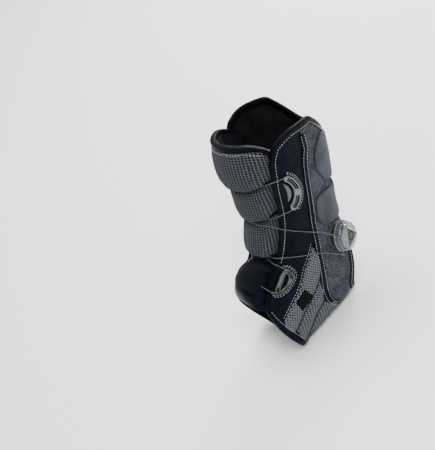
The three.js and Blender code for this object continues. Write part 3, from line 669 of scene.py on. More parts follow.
def rib_level(s, degrees, *edges):
    """Padded ribs between sewn valleys, flatter near the edges, the toes and the ground."""
    face = smooth(near_edges(*edges), 0.5, 5.0)
    lateral = np.where(degrees > 180, 360 - degrees, degrees)
    away = np.minimum.reduce([distance_to(line, s, lateral) for line in RIB_VALLEYS])
    ribs = 1 - np.exp(-(away / VALLEY_WIDTH) ** 1.7)
    padding = 0.2 + RIB_HEIGHT * ribs + 0.2 * noise(bare(s, degrees), 11, 5)
    toes = np.clip(1 - smooth(np.abs(s - 1.0), 0, 0.03), 0, 1)
    ground = smooth(bare(s, degrees)[..., 2], 1.5, 9.0)
    return VALLEY_LEVEL + face * padding * ground * (1 - 0.5 * toes)


EDGE_TUCK = 2.2
SHELL_THICKNESS = 2.9
lacing_edge = inset_between(OUTLINE, [0.06, 78.5], [0.935, 51], 16, EDGE_TUCK)
rim = inset_between(OUTLINE, [0.06, 78.5], [0.024, 104], 4, EDGE_TUCK)
toe = inset_between(OUTLINE, [0.935, 51], [0.983, 76], 4, EDGE_TUCK)
seam_front = [[0.033, 106.2]] + inset(STAY_LINE[:7], 0.3, 9)
diagonal = inset(DIAGONAL_SEAM[1:], 0.8, 9)
softshell_place = coons(lacing_edge, seam_front + diagonal, rim[1:-1], toe[1:-1])

peak = inset_between(OUTLINE, [0.023, 110], [0.128, 166], 6, EDGE_TUCK)
heel_side = inset_between(HEEL_OUTLINE, [0.54, 158], [0.71, 132.5], 8, -EDGE_TUCK)
rear_edge = [[peak[-1][0], 165.6], [0.2, 165.6], [0.32, 165.6], [0.43, 165.6], [0.5, 165.6]]
rear_edge += heel_side + [[0.768, SOLE_CORNER + 1], [0.8, SOLE_CORNER + 1]]
rear_place = coons([[0.033, 106.6]] + inset(STAY_LINE, -0.3, 14), rear_edge, peak[1:-1])

foot = inset_between(OUTLINE, [0.984, 79], [0.995, 134], 4, EDGE_TUCK)
quarter_front = inset([[0.53, 84]] + DIAGONAL_SEAM[2:], -1.5, 10)
quarter_rear = inset(STAY_LINE[7:], 0.3, 8) + [[0.87, SOLE_CORNER + 1]]
quarter_place = coons(quarter_front + [foot[0]], quarter_rear + [foot[-1]], (), foot[1:-1])

shell = []
for side, seed in (("lateral", 11), ("medial", 23)):
    soft, rear = shell_level(0.55, 0.3, seed), shell_level(0.3, 0.25, seed + 1)
    for name, place, grid, level, thickness, material, slot, node in (
        ("softshell", softshell_place, (46, 110), soft, SHELL_THICKNESS, SOFTSHELL, "softshell", "panel"),
        ("rear_fleece", rear_place, (46, 110), rear, SHELL_THICKNESS, FLEECE, "loop_cloth", "rear_panel"),
        ("spacer_quarter", quarter_place, (60, 90), rib_level, 3.0, SPACER, "spacer_mesh", "mesh_quarter"),
    ):
        panel = sheet(f"{side}_{name}", on_side(side, place), *grid, level, thickness, material=material,
                      lining=LINING)
        shell.append(stand_for(panel, slot, f"{side}_{node}"))

achilles_edge = [[0.152, 165], [0.2, 165], [0.32, 165], [0.51, 165]]
achilles_place = coons(achilles_edge, opposite(achilles_edge), [[0.145, 180]], [[0.51, 180]])
achilles = sheet("achilles_fleece", achilles_place, 24, 60, shell_level(0.3, 0.2, 31), SHELL_THICKNESS,
                 material=FLEECE, lining=LINING)
shell.append(stand_for(achilles, "loop_cloth", "achilles_panel"))

sole_toe = inset_between(OUTLINE, [0.995, SOLE_CORNER], [0.995, 360 - SOLE_CORNER], 6, EDGE_TUCK)
sole_heel = inset_between(HEEL_OUTLINE, [0.745, 142], [0.745, 218], 8, -EDGE_TUCK)
sole_left = [[0.749, SOLE_CORNER], [0.79, SOLE_CORNER], [sole_toe[0][0], SOLE_CORNER]]
sole_place = coons(sole_left, opposite(sole_left), sole_heel, sole_toe[1:-1])
sole = sheet("sole_strap_mesh", sole_place, 50, 40, lambda s, *_: -0.05 + 0 * s, SHELL_THICKNESS,
             material=SPACER, lining=LINING)
shell.append(stand_for(sole, "spacer_mesh", "sole_strap"))


# ---- rolled bindings ----
def smooth_ring(points, count):
    table = np.array(points + points[:1], float)
    ring = np.concatenate([table[-2:-1], table, table[1:2]])
    t = np.linspace(1, len(table), count, endpoint=False)
    i = t.astype(int)
    f = (t - i)[:, None]
    a, b, c, d = (ring[np.minimum(i + k, len(ring) - 1)] for k in (-1, 0, 1, 2))
    square, cube = 2 * a - 5 * b + 4 * c - d, 3 * b - a - 3 * c + d
    return 0.5 * (2 * b + (c - a) * f + square * f ** 2 + cube * f ** 3)


CRIMP_TURNS = 900
SOLE_TUCK = 1.2
JOIN = 0.0002
rolled = smooth_ring([
    [-0.6, -1.3], [-0.2, 0.3], [1.0, 1.0], [2.8, 1.1], [4.6, 0.95], [6.0, 0.8], [6.5, 0.3],
    [6.3, -0.9], [6.0, -3.2], [4.6, -3.7], [2.4, -3.8], [0.6, -3.5], [-0.4, -2.6],
], 30)


def rim_lift(s, degrees, t):
    """A binding's fine crimps, which flatten under the sole."""
    on_sole = 1 - smooth(bare(s, degrees)[..., 2], 0.5, 7.0)
    crimp = 0.07 * np.sin(t * CRIMP_TURNS) + 0.12 * noise(bare(s, degrees), 9, 3)
    return crimp * (1 - on_sole) - SOLE_TUCK * on_sole


def stretch(a, b):
    """The share of the outline between two places, with a slight overlap at both ends."""
    return nearest(OUTLINE, a) - JOIN, nearest(OUTLINE, b) + JOIN


def other_side(place):
    return opposite([place])[0]


SHOULDER, TOE = [0.022, 118], [0.94, 52]
front_span = stretch(SHOULDER, TOE)
medial_span = stretch(other_side(TOE), other_side(SHOULDER))
foot_span = stretch(TOE, other_side(TOE))
rear_start, rear_end = stretch(other_side(SHOULDER), SHOULDER)
rear_span = (rear_start, 1 + rear_end)
edges = []
for name, span, steps, material in (
    ("lateral_front_binding", front_span, 420, BINDING),
    ("medial_front_binding", medial_span, 420, BINDING),
    ("foot_binding", foot_span, 460, NAVY_BINDING),
    ("rear_top_binding", rear_span, 260, BINDING),
):
    tape = sweep(f"{name}_tape", OUTLINE, rolled, steps, material, lift=rim_lift, span=span,
                 closed_path=True)
    edges.append(stand_for(tape, "binding_tape", name))
heel_tape = sweep("heel_binding_tape", HEEL_OUTLINE, rolled * [-1, 1], 360, BINDING, closed=True,
                  lift=rim_lift)
edges.append(stand_for(heel_tape, "binding_tape", "heel_binding"))


# ---- stay pockets ----
pocket = smooth_ring([
    [-3.3, 0.2], [-3.0, 0.85], [-2.1, 1.0], [0, 1.35], [2.1, 1.0], [3.0, 0.85], [3.3, 0.2],
    [3.2, -0.3], [0, -0.5], [-3.2, -0.3],
], 26)
pockets = []
for side, line in (("lateral", STAY_LINE), ("medial", opposite(STAY_LINE))):
    tape = sweep(f"{side}_pocket_tape", line, pocket, 260, TAPE,
                 lift=lambda s, d, _: 0.18 * noise(bare(s, d), 13, 9))
    pockets.append(stand_for(tape, "binding_tape", f"{side}_stay_tape"))
    dress(f"{side}_stay_lining", LINING)
    dress(f"{side}_stay", STAY)


# ---- the tongue ----
def crease(middle, rise):
    return lambda degrees: middle - rise * 1e-5 * degrees ** 2


def tongue_top(degrees):
    return 0.054 + 4.6e-5 * np.maximum(0, np.abs(degrees) - 42) ** 2


TONGUE_ROWS = [tongue_top, crease(0.26, 1), crease(0.409, 1.78), crease(0.606, 1.7), crease(0.985, 2.3)]
BULGES = [2.2, 2.2, 2.2, -1.6]
TONGUE_MM_PER_S = 210
TONGUE_CREASE = -4.6
edge_table = np.array(EDGE_FRONT)


def edge_angle(s):
    return np.interp(s, edge_table[:, 0], edge_table[:, 1])


def tongue_face(s, degrees):
    """Height of the tongue's face as the frame has it, used where the lace lies on it."""
    lines = [float(line(degrees)) for line in TONGUE_ROWS]
    row = min(3, max(0, next((i for i, x in enumerate(lines) if x > s), -2) - 1))
    v = np.clip((s - lines[row]) / (lines[row + 1] - lines[row]), 0, 1)
    side = smooth(edge_angle(s) - 2 - abs(degrees), 0, 16)
    return TONGUE_CREASE + (BULGES[row] - TONGUE_CREASE) * side * math.sin(math.pi * v) ** 0.6


PAD_COLUMNS, PAD_RING = 72, 64
PAD_MM_PER_DEGREE = 0.72
UNDER_SHELL = 8
TOP_PAD_FOLD = [[0.07, 38.0], [0.16, 46.0], [0.262, 57.0]]
FOLD_DEPTH, FOLD_WIDTH = 1.6, 1.3
HELD_SHARE = 0.9
CLOTH_SCALE = 10.0
CLOTH_FRAMES = 20
PRESSURE = 4.0
SWELL = 0.05
SETTLE_CAP = 1.6


def pad_profile(length, bulge):
    """A pad's section: [mm down from its upper line, mm off the skin]; it hangs over the next crease."""
    low = TONGUE_CREASE
    table = [
        [0.3, low - 0.8], [0.5, low + 0.4], [2.4, low + 1.7], [0.14 * length, bulge - 3.6],
        [0.3 * length, bulge - 1.6], [0.5 * length, bulge - 0.1], [0.7 * length, bulge + 0.5],
        [0.87 * length, bulge - 0.1], [0.99 * length, bulge - 1.7], [length + 1.0, bulge - 3.6],
        [length + 0.9, low + 0.9], [length - 0.6, low - 1.3], [0.6 * length, low - 2.2],
        [0.3 * length, low - 2.2], [1.6, low - 2.1],
    ]
    return smooth_ring(table, PAD_RING)


def tongue_pad(name, row, material, trim, seed):
    across = np.linspace(-1, 1, PAD_COLUMNS)
    top_line, bottom_line = TONGUE_ROWS[row], TONGUE_ROWS[row + 1]
    middle = (top_line(0.0) + bottom_line(0.0)) / 2
    length = (bottom_line(0.0) - top_line(0.0)) * TONGUE_MM_PER_S - sum(trim)
    profile = pad_profile(length, BULGES[row])
    share = profile[:, 0] / length
    columns = []
    for x in across:
        degrees = x * (edge_angle(middle) + UNDER_SHELL)
        a = top_line(degrees) + trim[0] / TONGUE_MM_PER_S
        b = bottom_line(degrees) - trim[1] / TONGUE_MM_PER_S
        s = a + (b - a) * share
        degrees = x * (edge_angle(s) + UNDER_SHELL)
        side = smooth(edge_angle(s) - 2 - np.abs(degrees), 0, 16)
        off = profile[:, 1]
        raised = TONGUE_CREASE + (off - TONGUE_CREASE) * side
        columns.append((s, degrees, np.where(off > TONGUE_CREASE, raised, off)))
    s, degrees, off = np.array(columns).transpose(1, 0, 2)
    raised = np.clip((off - TONGUE_CREASE) / 4, 0, 1)
    if row == 0:
        away = distance_to(TOP_PAD_FOLD, s, np.abs(degrees))
        off = off - FOLD_DEPTH * raised * np.exp(-(away / FOLD_WIDTH) ** 2)
    place = bare(s, degrees)
    off = off + raised * (0.3 * noise(place, 13, seed) + 0.12 * noise(place, 5, seed + 3))
    points = skin(s, degrees, off)
    uv = np.stack([degrees * PAD_MM_PER_DEGREE, run_lengths(points, 1)], -1).reshape(-1, 2)
    return solid(name, points.reshape(-1, 3), sleeve_faces(PAD_COLUMNS, PAD_RING), material, uv=uv)


def settle(thing, held):
    """Cloth simulation of a padded piece with its held points fixed and every shift capped."""
    rest = np.empty(len(thing.data.vertices) * 3)
    thing.data.vertices.foreach_get("co", rest)
    thing.data.vertices.foreach_set("co", rest * CLOTH_SCALE)
    group = thing.vertex_groups.new(name="held")
    for index, weight in enumerate(held):
        group.add([index], float(weight), "REPLACE")
    cloth = thing.modifiers.new("cloth", "CLOTH")
    cloth.settings.effector_weights.gravity = 0
    cloth.settings.vertex_group_mass = "held"
    cloth.settings.use_pressure = True
    cloth.settings.uniform_pressure_force = PRESSURE
    cloth.settings.shrink_min = -SWELL
    cloth.settings.quality = 5
    cloth.settings.mass = 0.3
    cloth.collision_settings.use_collision = False
    scene = bpy.context.scene
    for number in range(1, CLOTH_FRAMES + 1):
        scene.frame_set(number)
    view = bpy.context.evaluated_depsgraph_get()
    made = thing.evaluated_get(view).to_mesh()
    moved = np.empty(len(made.vertices) * 3)
    made.vertices.foreach_get("co", moved)
    thing.evaluated_get(view).to_mesh_clear()
    thing.modifiers.remove(cloth)
    thing.vertex_groups.remove(group)
    scene.frame_set(1)
    shift = ((moved - rest * CLOTH_SCALE) / CLOTH_SCALE).reshape(-1, 3)
    size = np.linalg.norm(shift, axis=1, keepdims=True)
    shift *= np.minimum(1, SETTLE_CAP * MM / np.maximum(size, 1e-9))
    thing.data.vertices.foreach_set("co", rest + shift.ravel())
    thing.data.update()


pads = []
for row, (name, material, trim) in enumerate((
    ("upper", GRID, (3.2, 0.6)), ("middle", GRID, (0.4, 0.6)), ("lower", GRID, (0.4, 0.6)),
    ("instep", SOFTSHELL, (0.6, 4.6)),
)):
    pad = tongue_pad(f"tongue_{name}_cushion", row, material, trim, 40 + row)
    tucked = np.repeat(np.abs(np.linspace(-1, 1, PAD_COLUMNS)) > HELD_SHARE, PAD_RING)
    under = np.tile(pad_profile(40, 2.2)[:, 1] < TONGUE_CREASE, PAD_COLUMNS)
    settle(pad, np.maximum(tucked, under))
    stand_for(pad, "spacer_mesh" if row < 3 else "softshell", f"tongue_{name}_pad")
    pads.append(pad)
dress("tongue_lining", LINING)


def rim_line(line, degrees):
    return [[float(line(d)), float(d)] for d in np.linspace(-degrees, degrees, 13)]


hem = smooth_ring([
    [0.6, -6.2], [0.3, -3.4], [-1.4, -2.5], [-3.4, -2.7], [-4.9, -3.2], [-5.3, -4.6], [-5.0, -7.6],
    [-3.4, -8.8], [-1.4, -8.9], [0.3, -8.2],
], 26)


def hem_lift(s, degrees, _):
    return 0.15 * noise(bare(s, degrees), 8, 4)


top_hem = sweep("tongue_top_hem", rim_line(tongue_top, 74), hem, 240, BINDING, lift=hem_lift)
stand_for(top_hem, "binding_tape", "tongue_top_binding")
foot_hem = sweep("tongue_foot_hem", rim_line(TONGUE_ROWS[4], 52), hem * [-1, 1], 200, NAVY_BINDING,
                 lift=hem_lift)
stand_for(foot_hem, "binding_tape", "tongue_foot_binding")


COVER_TOP, COVER_FOOT = 0.69, 0.9


def cover_place(u, v):
    s = COVER_TOP + (COVER_FOOT - COVER_TOP) * v
    return s, (2 * u - 1) * (edge_angle(s) - 9)


def cover_level(s, degrees, *edges):
    below = np.vectorize(tongue_face)(s, degrees)
    crowned = below + 0.9 + 2.4 * smooth(near_edges(*edges), 0.0, 11)
    return crowned + 0.12 * noise(bare(s, degrees), 10, 8)


cover = sheet("instep_mesh_cover", cover_place, 40, 40, cover_level, 1.3, 0.6, material=NAVY_GRID)
stand_for(cover, "softshell", "instep_cover")


# ---- the reel's own frame ----
REEL_S, REEL_DEGREES = np.array([0.525, 126.0])
reel_centre = skin(REEL_S, REEL_DEGREES)
reel_axis = normal(REEL_S, REEL_DEGREES)
reel_down = bare(REEL_S + 0.01, REEL_DEGREES) - reel_centre
reel_down = reel_down - reel_axis * (reel_down @ reel_axis)
reel_down /= np.linalg.norm(reel_down)
reel_front = np.cross(reel_down, reel_axis)


def at_reel(front, down, out):
    """Points given in mm towards the toes, down the skin and outwards from the reel's foot."""
    ways = np.broadcast_arrays(*(np.asarray(x, float) for x in (front, down, out)))
    front, down, out = (way[..., None] for way in ways)
    return reel_centre + front * reel_front + down * reel_down + out * reel_axis


def turned(name, profile, material, segments, shape, sharp_degrees):
    """A profile of [radius, level] turned about the reel's axis. shape(angle, radius, level) gives the
    new radius and level; edges sharper than the last angle stay sharp."""
    profile = np.array(profile, float)
    angle = np.linspace(0, 2 * np.pi, segments, endpoint=False)[:, None]
    r, out = shape(angle, profile[:, 0] + 0 * angle, profile[:, 1] + 0 * angle)
    points = at_reel(r * np.cos(angle), r * np.sin(angle), out).reshape(-1, 3)
    uv = np.stack([angle * 15 + 0 * r, r + out], -1).reshape(-1, 2)
    thing = solid(name, points, sleeve_faces(segments, len(profile), True), material, uv=uv)
    thing.data.set_sharp_from_angle(angle=math.radians(sharp_degrees))
    return thing


FLUTES = 32
FLUTE_DEPTH = 0.5


def fluted(angle, r, out):
    """Square-shouldered ribs round the wall of the housing."""
    wall = (r > 14.2) & (out > 3.6) & (out < 8.8)
    wave = np.sin(FLUTES * angle)
    return np.where(wall, r + FLUTE_DEPTH * np.sign(wave) * np.abs(wave) ** 0.4, r), out


housing_profile = [
    [2.3, 3.1], [15.6, 3.1], [15.9, 3.3], [15.9, 3.8], [15.5, 4.2], [15.0, 4.4], [14.95, 5.5], [14.85, 7.0],
    [14.75, 8.5], [14.6, 9.0], [14.3, 9.5], [13.9, 9.6], [12.9, 9.6], [12.7, 9.3], [12.7, 4.4], [2.3, 4.3],
]
housing = turned("reel_housing_shell", housing_profile, SILVER, FLUTES * 8, fluted, 40)
stand_for(housing, "reel_silver", "reel_housing")

FLANGE_MM_PER_S, FLANGE_MM_PER_DEGREE = 300, 0.78
FLANGE_SEGMENTS = 96
flange_profile = np.array([
    [0.01, 1.3], [9, 1.35], [13, 1.5], [15.2, 1.45], [16.0, 0.9], [16.1, 0.4], [12, 0.1], [0.01, 0.1],
])
turn = np.linspace(0, 2 * np.pi, FLANGE_SEGMENTS, endpoint=False)[:, None]
flange_s = REEL_S + flange_profile[:, 0] * np.sin(turn) / FLANGE_MM_PER_S
flange_degrees = REEL_DEGREES + flange_profile[:, 0] * np.cos(turn) / FLANGE_MM_PER_DEGREE
flange = solid("reel_mount_flange", skin(flange_s, flange_degrees, flange_profile[:, 1]).reshape(-1, 3),
               sleeve_faces(FLANGE_SEGMENTS, len(flange_profile), True), OLIVE)
stand_for(flange, "reel_dark", "reel_flange")

LOBES = 15
LOBE_DEPTH = 0.75
BEVEL_SLOPE = 0.33
CROWN_SLOPE = 0.05
FACETS = (1.67, 3.765, 5.86)
CHORD = 6.3
DIAL_TOP = 14.0


def lean(x, y):
    """Distance from the axis towards the nearest side of the dial's triangular face."""
    return np.maximum.reduce([x * math.cos(a) + y * math.sin(a) for a in FACETS])


def crown(r):
    return DIAL_TOP - CROWN_SLOPE * (r - 4.6)


def knob(angle, r, out):
    """Lobed rim; three flat bevels leave a triangular face."""
    rim_share = smooth(r, 11.0, 13.6) * smooth(out, 9.0, 11.0)
    r = r - LOBE_DEPTH * rim_share * (0.5 + 0.5 * np.cos(LOBES * angle))
    past = np.clip(lean(r * np.cos(angle), r * np.sin(angle)) - CHORD, 0, 9)
    bevel = DIAL_TOP - BEVEL_SLOPE * past
    return r, np.where((out > 10.6) & (r > 4.4), np.minimum(out, bevel), out)


dial_profile = [[4.3, 9.9], [13.8, 9.9], [14.5, 10.2], [14.6, 11.0], [14.5, 12.0], [14.1, 12.7], [13.2, 13.3]]
dial_profile += [[r, crown(r)] for r in np.arange(12.6, 4.7, -0.4)] + [[4.55, 13.8], [4.3, 13.3]]
dial = turned("reel_dial_knob", dial_profile, SILVER, 240, knob, 24)
dial.data.materials.append(OLIVE)
for face in dial.data.polygons:
    middle = np.array(face.center) / MM - reel_centre
    out = middle @ reel_axis
    across = middle - out * reel_axis
    inside = lean(across @ reel_front, across @ reel_down) < CHORD
    face.material_index = int(out > 12.9 and inside and np.linalg.norm(across) < 12.7)
stand_for(dial, "reel_dark", "reel_dial")

# A painted highlight: a pale line along one side of the triangular face, in place of the light caught along
# that edge.
RIDGE_HALF = 9.3
side_run = np.linspace(-RIDGE_HALF, RIDGE_HALF, 30)
side_way, side_out = FACETS[1] + math.pi / 2, CHORD + 0.1
ridge_front = side_out * math.cos(FACETS[1]) + side_run * math.cos(side_way)
ridge_down = side_out * math.sin(FACETS[1]) + side_run * math.sin(side_way)
ridge_level = crown(np.hypot(ridge_front, ridge_down)) + 0.05
# The pale tube is a painted highlight, not a part of the dial.
painted_ridge = tube("dial_highlight_strip", at_reel(ridge_front, ridge_down, ridge_level), 0.42, 8, PAINTED_HIGHLIGHT)
part_of(painted_ridge, body="dial")


# ---- lace and guides ----
LATERAL_UPPER_GUIDE = [[0.211, 73.5], [0.232, 80], [0.275, 83], [0.318, 79], [0.352, 71]]
MEDIAL_MIDDLE_GUIDE = [[0.468, 300], [0.488, 294.5], [0.518, 293], [0.547, 296], [0.566, 303]]
LOWER_GUIDE = [
    [0.664, 51.5], [0.69, 57.5], [0.735, 61], [0.78, 61.2], [0.812, 57.5], [0.8, 54.5],
    [0.75, 52.8], [0.7, 50.5],
]
LOWER_GUIDE_ARC = LOWER_GUIDE[:5]
LACE_RADIUS = 0.55
LACE_IN_GUIDE = 1.85
LACE_GAP = 0.6
LACING_EDGE_DEGREES, LACING_EDGE_TOP = 4.5, 0.6
TAPE_HOP = 0.5
CROSSING = 1.5
SPOOL_LEVEL = 6.4
LACE_LEAVES_AT = 11.4


def on_medial(points):
    return [[s, -degrees] for s, degrees in points]


def clear_level(s, degrees, lift):
    """Height of the lace's centre where it clears the shell or the tongue below it."""
    signed = degrees - 360 if degrees > 180 else degrees
    if abs(signed) > edge_angle(s) - LACING_EDGE_DEGREES:
        top = LACING_EDGE_TOP
    else:
        top = max(tongue_face(s + step, signed) for step in (-0.005, 0, 0.005))
    return top + LACE_GAP + LACE_RADIUS + lift


def on_brace(points, lift=0.0):
    return [skin(s, degrees, clear_level(s, degrees, lift)) for s, degrees in points]


def in_guide(points):
    return [skin(s, degrees, LACE_IN_GUIDE) for s, degrees in points]


lace_route = [
    at_reel(0, -LACE_LEAVES_AT, SPOOL_LEVEL),
    at_reel(6, -LACE_LEAVES_AT, SPOOL_LEVEL),
    at_reel(12.5, -LACE_LEAVES_AT, SPOOL_LEVEL - 0.2),
    *on_brace([[0.478, 99]], 2),
    *on_brace([[0.472, 93]], TAPE_HOP),
    *on_brace([[0.455, 78], [0.436, 61], [0.425, 51]]),
    *on_brace([[0.415, 40], [0.41, 27], [0.409, 12], [0.408, -4], [0.402, -20]], CROSSING),
    *on_brace([[0.392, -34], [0.381, -44], [0.373, -51], [0.366, -57], [0.36, -64]]),
    *in_guide(on_medial(LATERAL_UPPER_GUIDE)[::-1]),
    *on_brace([[0.215, -67], [0.218, -59], [0.236, -46], [0.25, -32], [0.259, -12], [0.259, 12]]),
    *on_brace([[0.25, 32], [0.236, 46], [0.218, 59], [0.215, 67]]),
    *in_guide(LATERAL_UPPER_GUIDE),
    *on_brace([[0.36, 64], [0.366, 57], [0.373, 51], [0.389, 35], [0.402, 20], [0.408, 6]]),
    *on_brace([[0.41, -10], [0.416, -26]]),
    *on_brace([[0.432, -40]], 1),
    *on_brace([[0.444, -47], [0.458, -55]]),
    *in_guide(MEDIAL_MIDDLE_GUIDE),
    *on_brace([[0.576, -49], [0.586, -38], [0.597, -24], [0.605, -8], [0.606, 8], [0.608, 22]]),
    *on_brace([[0.618, 30], [0.627, 36.5], [0.64, 43.5]]),
    *in_guide(LOWER_GUIDE_ARC),
    *on_brace([[0.82, 51], [0.815, 45]]),
    *on_brace([[0.806, 36], [0.802, 25], [0.8, 9], [0.8, -9], [0.802, -25], [0.806, -36]]),
    *on_brace([[0.815, -45], [0.82, -51]], 0.2),
    *in_guide(on_medial(LOWER_GUIDE_ARC)[::-1]),
    *on_brace([[0.64, -43.5], [0.627, -36.5], [0.618, -30]], 0.2),
    *on_brace([[0.61, -20], [0.606, -5], [0.603, 9], [0.598, 22], [0.592, 31]], CROSSING),
    *on_brace([[0.586, 39], [0.575, 56], [0.569, 70], [0.566, 80]]),
    *on_brace([[0.566, 89]], TAPE_HOP),
    *on_brace([[0.57, 97]], 1.2),
    at_reel(12.4, 12.5, SPOOL_LEVEL - 1.6),
    at_reel(LACE_LEAVES_AT, 6.5, SPOOL_LEVEL),
    at_reel(LACE_LEAVES_AT, 0, SPOOL_LEVEL),
]


def centripetal(route, per_mm=2.0):
    """A centripetal Catmull-Rom curve through points in mm."""
    p = np.array(route, float)
    p = np.concatenate([[2 * p[0] - p[1]], p, [2 * p[-1] - p[-2]]])
    out = []
    for a, b, c, d in zip(p, p[1:], p[2:], p[3:]):
        k1, k2, k3 = (max(np.linalg.norm(q - w) ** 0.5, 1e-4) for q, w in ((b, a), (c, b), (d, c)))
        v = ((b - a) / k1 - (c - a) / (k1 + k2) + (c - b) / k2) * k2
        w = ((c - b) / k2 - (d - b) / (k2 + k3) + (d - c) / k3) * k2
        count = max(2, int(np.linalg.norm(c - b) * per_mm))
        f = np.linspace(0, 1, count, endpoint=False)[:, None]
        out.append((2 * b - 2 * c + v + w) * f ** 3 + (3 * c - 3 * b - 2 * v - w) * f ** 2 + v * f + b)
    return np.concatenate(out + [p[-2:-1]])


def wire_ring(name, centre, u, v, radius, wire, material):
    turn = np.linspace(0, 2 * np.pi, 40)[:, None]
    return tube(name, centre + radius * (np.cos(turn) * u + np.sin(turn) * v), wire, 10, material)


for name, place in (("upper_lace_eyelet", (15.6, -11.4, 6.3)), ("lower_lace_eyelet", (12.9, 13.4, 4.9))):
    eyelet = wire_ring(name, at_reel(*place), reel_down, reel_axis, 1.35, 0.5, SILVER)
    part_of(eyelet)

lace = tube("steel_lace", centripetal(lace_route), 0.5, 8, LACE)
stand_for(lace, "lace_steel", "lace")

# A guide's half section, as [share of its half width, mm off the skin], from the outer wall over the
# lip and down to the groove.
LIP = np.array([
    [1.0, 0.15], [1.0, 1.9], [0.96, 2.6], [0.86, 3.1], [0.74, 3.3], [0.62, 3.25], [0.54, 2.9],
    [0.51, 2.2], [0.5, 0.9],
])
GROOVE_FLOOR = 0.85
ROOF = [2.9, 2.75, 2.7, 2.7, 2.7, 2.75, 2.9]
GROOVE = range(6, 12)
BRIDGE_RAMP = 0.02
END_TAPER, END_WIDTH = 0.06, 0.25


def guide(name, line, half, material, bridges, replaced, closed=False, steps=150):
    """A curved bar with a groove for the lace, roofed over along the (from, to) shares in bridges."""
    t = np.linspace(0, 1, steps, endpoint=not closed)
    roof = np.zeros_like(t)
    for a, b in bridges:
        here = smooth(t, a - BRIDGE_RAMP, a) * (1 - smooth(t, b, b + BRIDGE_RAMP))
        roof = np.maximum(roof, here)
    base = np.concatenate([LIP * [-1, 1], [[0, GROOVE_FLOOR]], LIP[::-1]])
    full = base.copy()
    full[6:13, 1] = ROOF
    to_end = np.ones_like(t) if closed else np.minimum(t, 1 - t) / END_TAPER
    width = half * np.clip(np.sqrt(np.clip(to_end, 0, 1)), END_WIDTH, 1)
    dist = width[:, None] * base[None, :, 0]
    off = base[None, :, 1] + (full - base)[None, :, 1] * roof[:, None]
    s, degrees = beside(line, t[:, None] + 0 * dist, dist, closed)
    count = len(base)
    faces = sleeve_faces(len(t), count, closed)
    slots = [int(len(face) == 4 and face[0] % count in GROOVE and roof[face[0] // count] < 0.5)
             for face in faces]
    points = skin(s, degrees, off).reshape(-1, 3)
    thing = solid(name, points, faces, material, SLOT, face_slots=slots)
    return stand_for(thing, "guide_plastic", replaced)


def pad_level(_, __, *edges):
    return 1.6 + 0.9 * smooth(near_edges(*edges), 0, 2.5)


half_moon = coons([[0.235, 71.0], [0.275, 71.6], [0.318, 69.0]],
                  [[0.235, 71.4], [0.251, 75.2], [0.275, 76.6], [0.3, 74.4], [0.318, 69.3]])
for side, line in (("lateral", LATERAL_UPPER_GUIDE), ("medial", on_medial(LATERAL_UPPER_GUIDE))):
    guide(f"{side}_upper_crescent", line, 3.4, GUIDE, [(0, 0.07), (0.44, 0.6), (0.94, 1)],
          f"{side}_upper_guide")
    pad = sheet(f"{side}_guide_half_moon", on_side(side, half_moon), 18, 40, pad_level, 1.9, 0.5,
                material=GUIDE_PAD)
    stand_for(pad, "guide_plastic", f"{side}_guide_pad")
guide("medial_middle_crescent", MEDIAL_MIDDLE_GUIDE, 3.2, GUIDE, [(0, 0.12), (0.42, 0.6), (0.88, 1)],
      "medial_middle_guide")
for side, line in (("lateral", LOWER_GUIDE), ("medial", on_medial(LOWER_GUIDE))):
    guide(f"{side}_lower_ring", line, 2.3, RING, [(0.2, 0.3), (0.62, 1.0), (0, 0.02)],
          f"{side}_lower_guide", closed=True, steps=220)


# ---- straps ----
HINGE = 211
STRAP_TOP = 2.9


def strap_level(seed):
    def level(s, degrees, *edges):
        rim_drop = 0.6 * (1 - smooth(near_edges(*edges), 0.0, 3.5))
        return STRAP_TOP - rim_drop + 0.2 * noise(bare(s, degrees), 26, seed)
    return level


upper_place = coons(
    [[0.132, 127], [0.163, 118.5], [0.199, 114], [0.233, 113.5], [0.263, 116], [0.293, 122]],
    [[0.168, 240], [0.25, 240], [0.328, 240]],
    [[0.12, 138], [0.142, 158], [0.16, 180], [0.164, 196], [0.166, 215]],
    [[0.308, 132], [0.326, 154], [0.332, 180], [0.332, 196], [0.33, 215]],
)
lower_place = coons(
    [[0.342, 108.5], [0.358, 103.5], [0.391, 101], [0.426, 101], [0.452, 103.5]],
    [[0.352, 240], [0.4, 240], [0.456, 240]],
    [[0.339, 120], [0.348, 142], [0.35, 165], [0.35, 190], [0.351, 215]],
    [[0.462, 116], [0.463, 135], [0.462, 165], [0.46, 190], [0.458, 215]],
)
straps = []
for name, place, middle, seed in (("upper", upper_place, 0.25, 61), ("lower", lower_place, 0.405, 67)):
    strap = sheet(f"{name}_strap", place, 130, 44, strap_level(seed), 1.6, 0.7, material=STRAP,
                  lining=STRAP_UNDER, share=(0.008, 0.02))
    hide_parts(f"{name}_strap_base", f"{name}_strap_tab")
    skin(middle, HINGE + 4.0) * MM
    skin(middle, HINGE - 11.0) * MM
    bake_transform(strap)
    straps.append(strap)
    dress(f"{name}_hook_patch", HOOK)

# ---- label ----
label_place = coons([[0.768, 79.6], [0.85, 80.6]], [[0.797, 93.0], [0.878, 94.2]])


def label_level(s, degrees, left, right, *_):
    """Flat, with a soft fold along its front edge and a raised rear edge."""
    fold = 0.5 * np.exp(-((left - 2.0) / 1.2) ** 2) + 0.25 * smooth(right, 4, 0)
    return 2.0 + fold + 0.15 * noise(bare(s, degrees), 7, 2)


label = sheet("blank_side_label", label_place, 30, 26, label_level, 0.5, 0.2, material=LABEL)
stand_for(label, "label_satin", "side_label")


# ---- seams and the reel's inner pieces ----
PROBE_FROM, PROBE_REACH = 9.0, 22


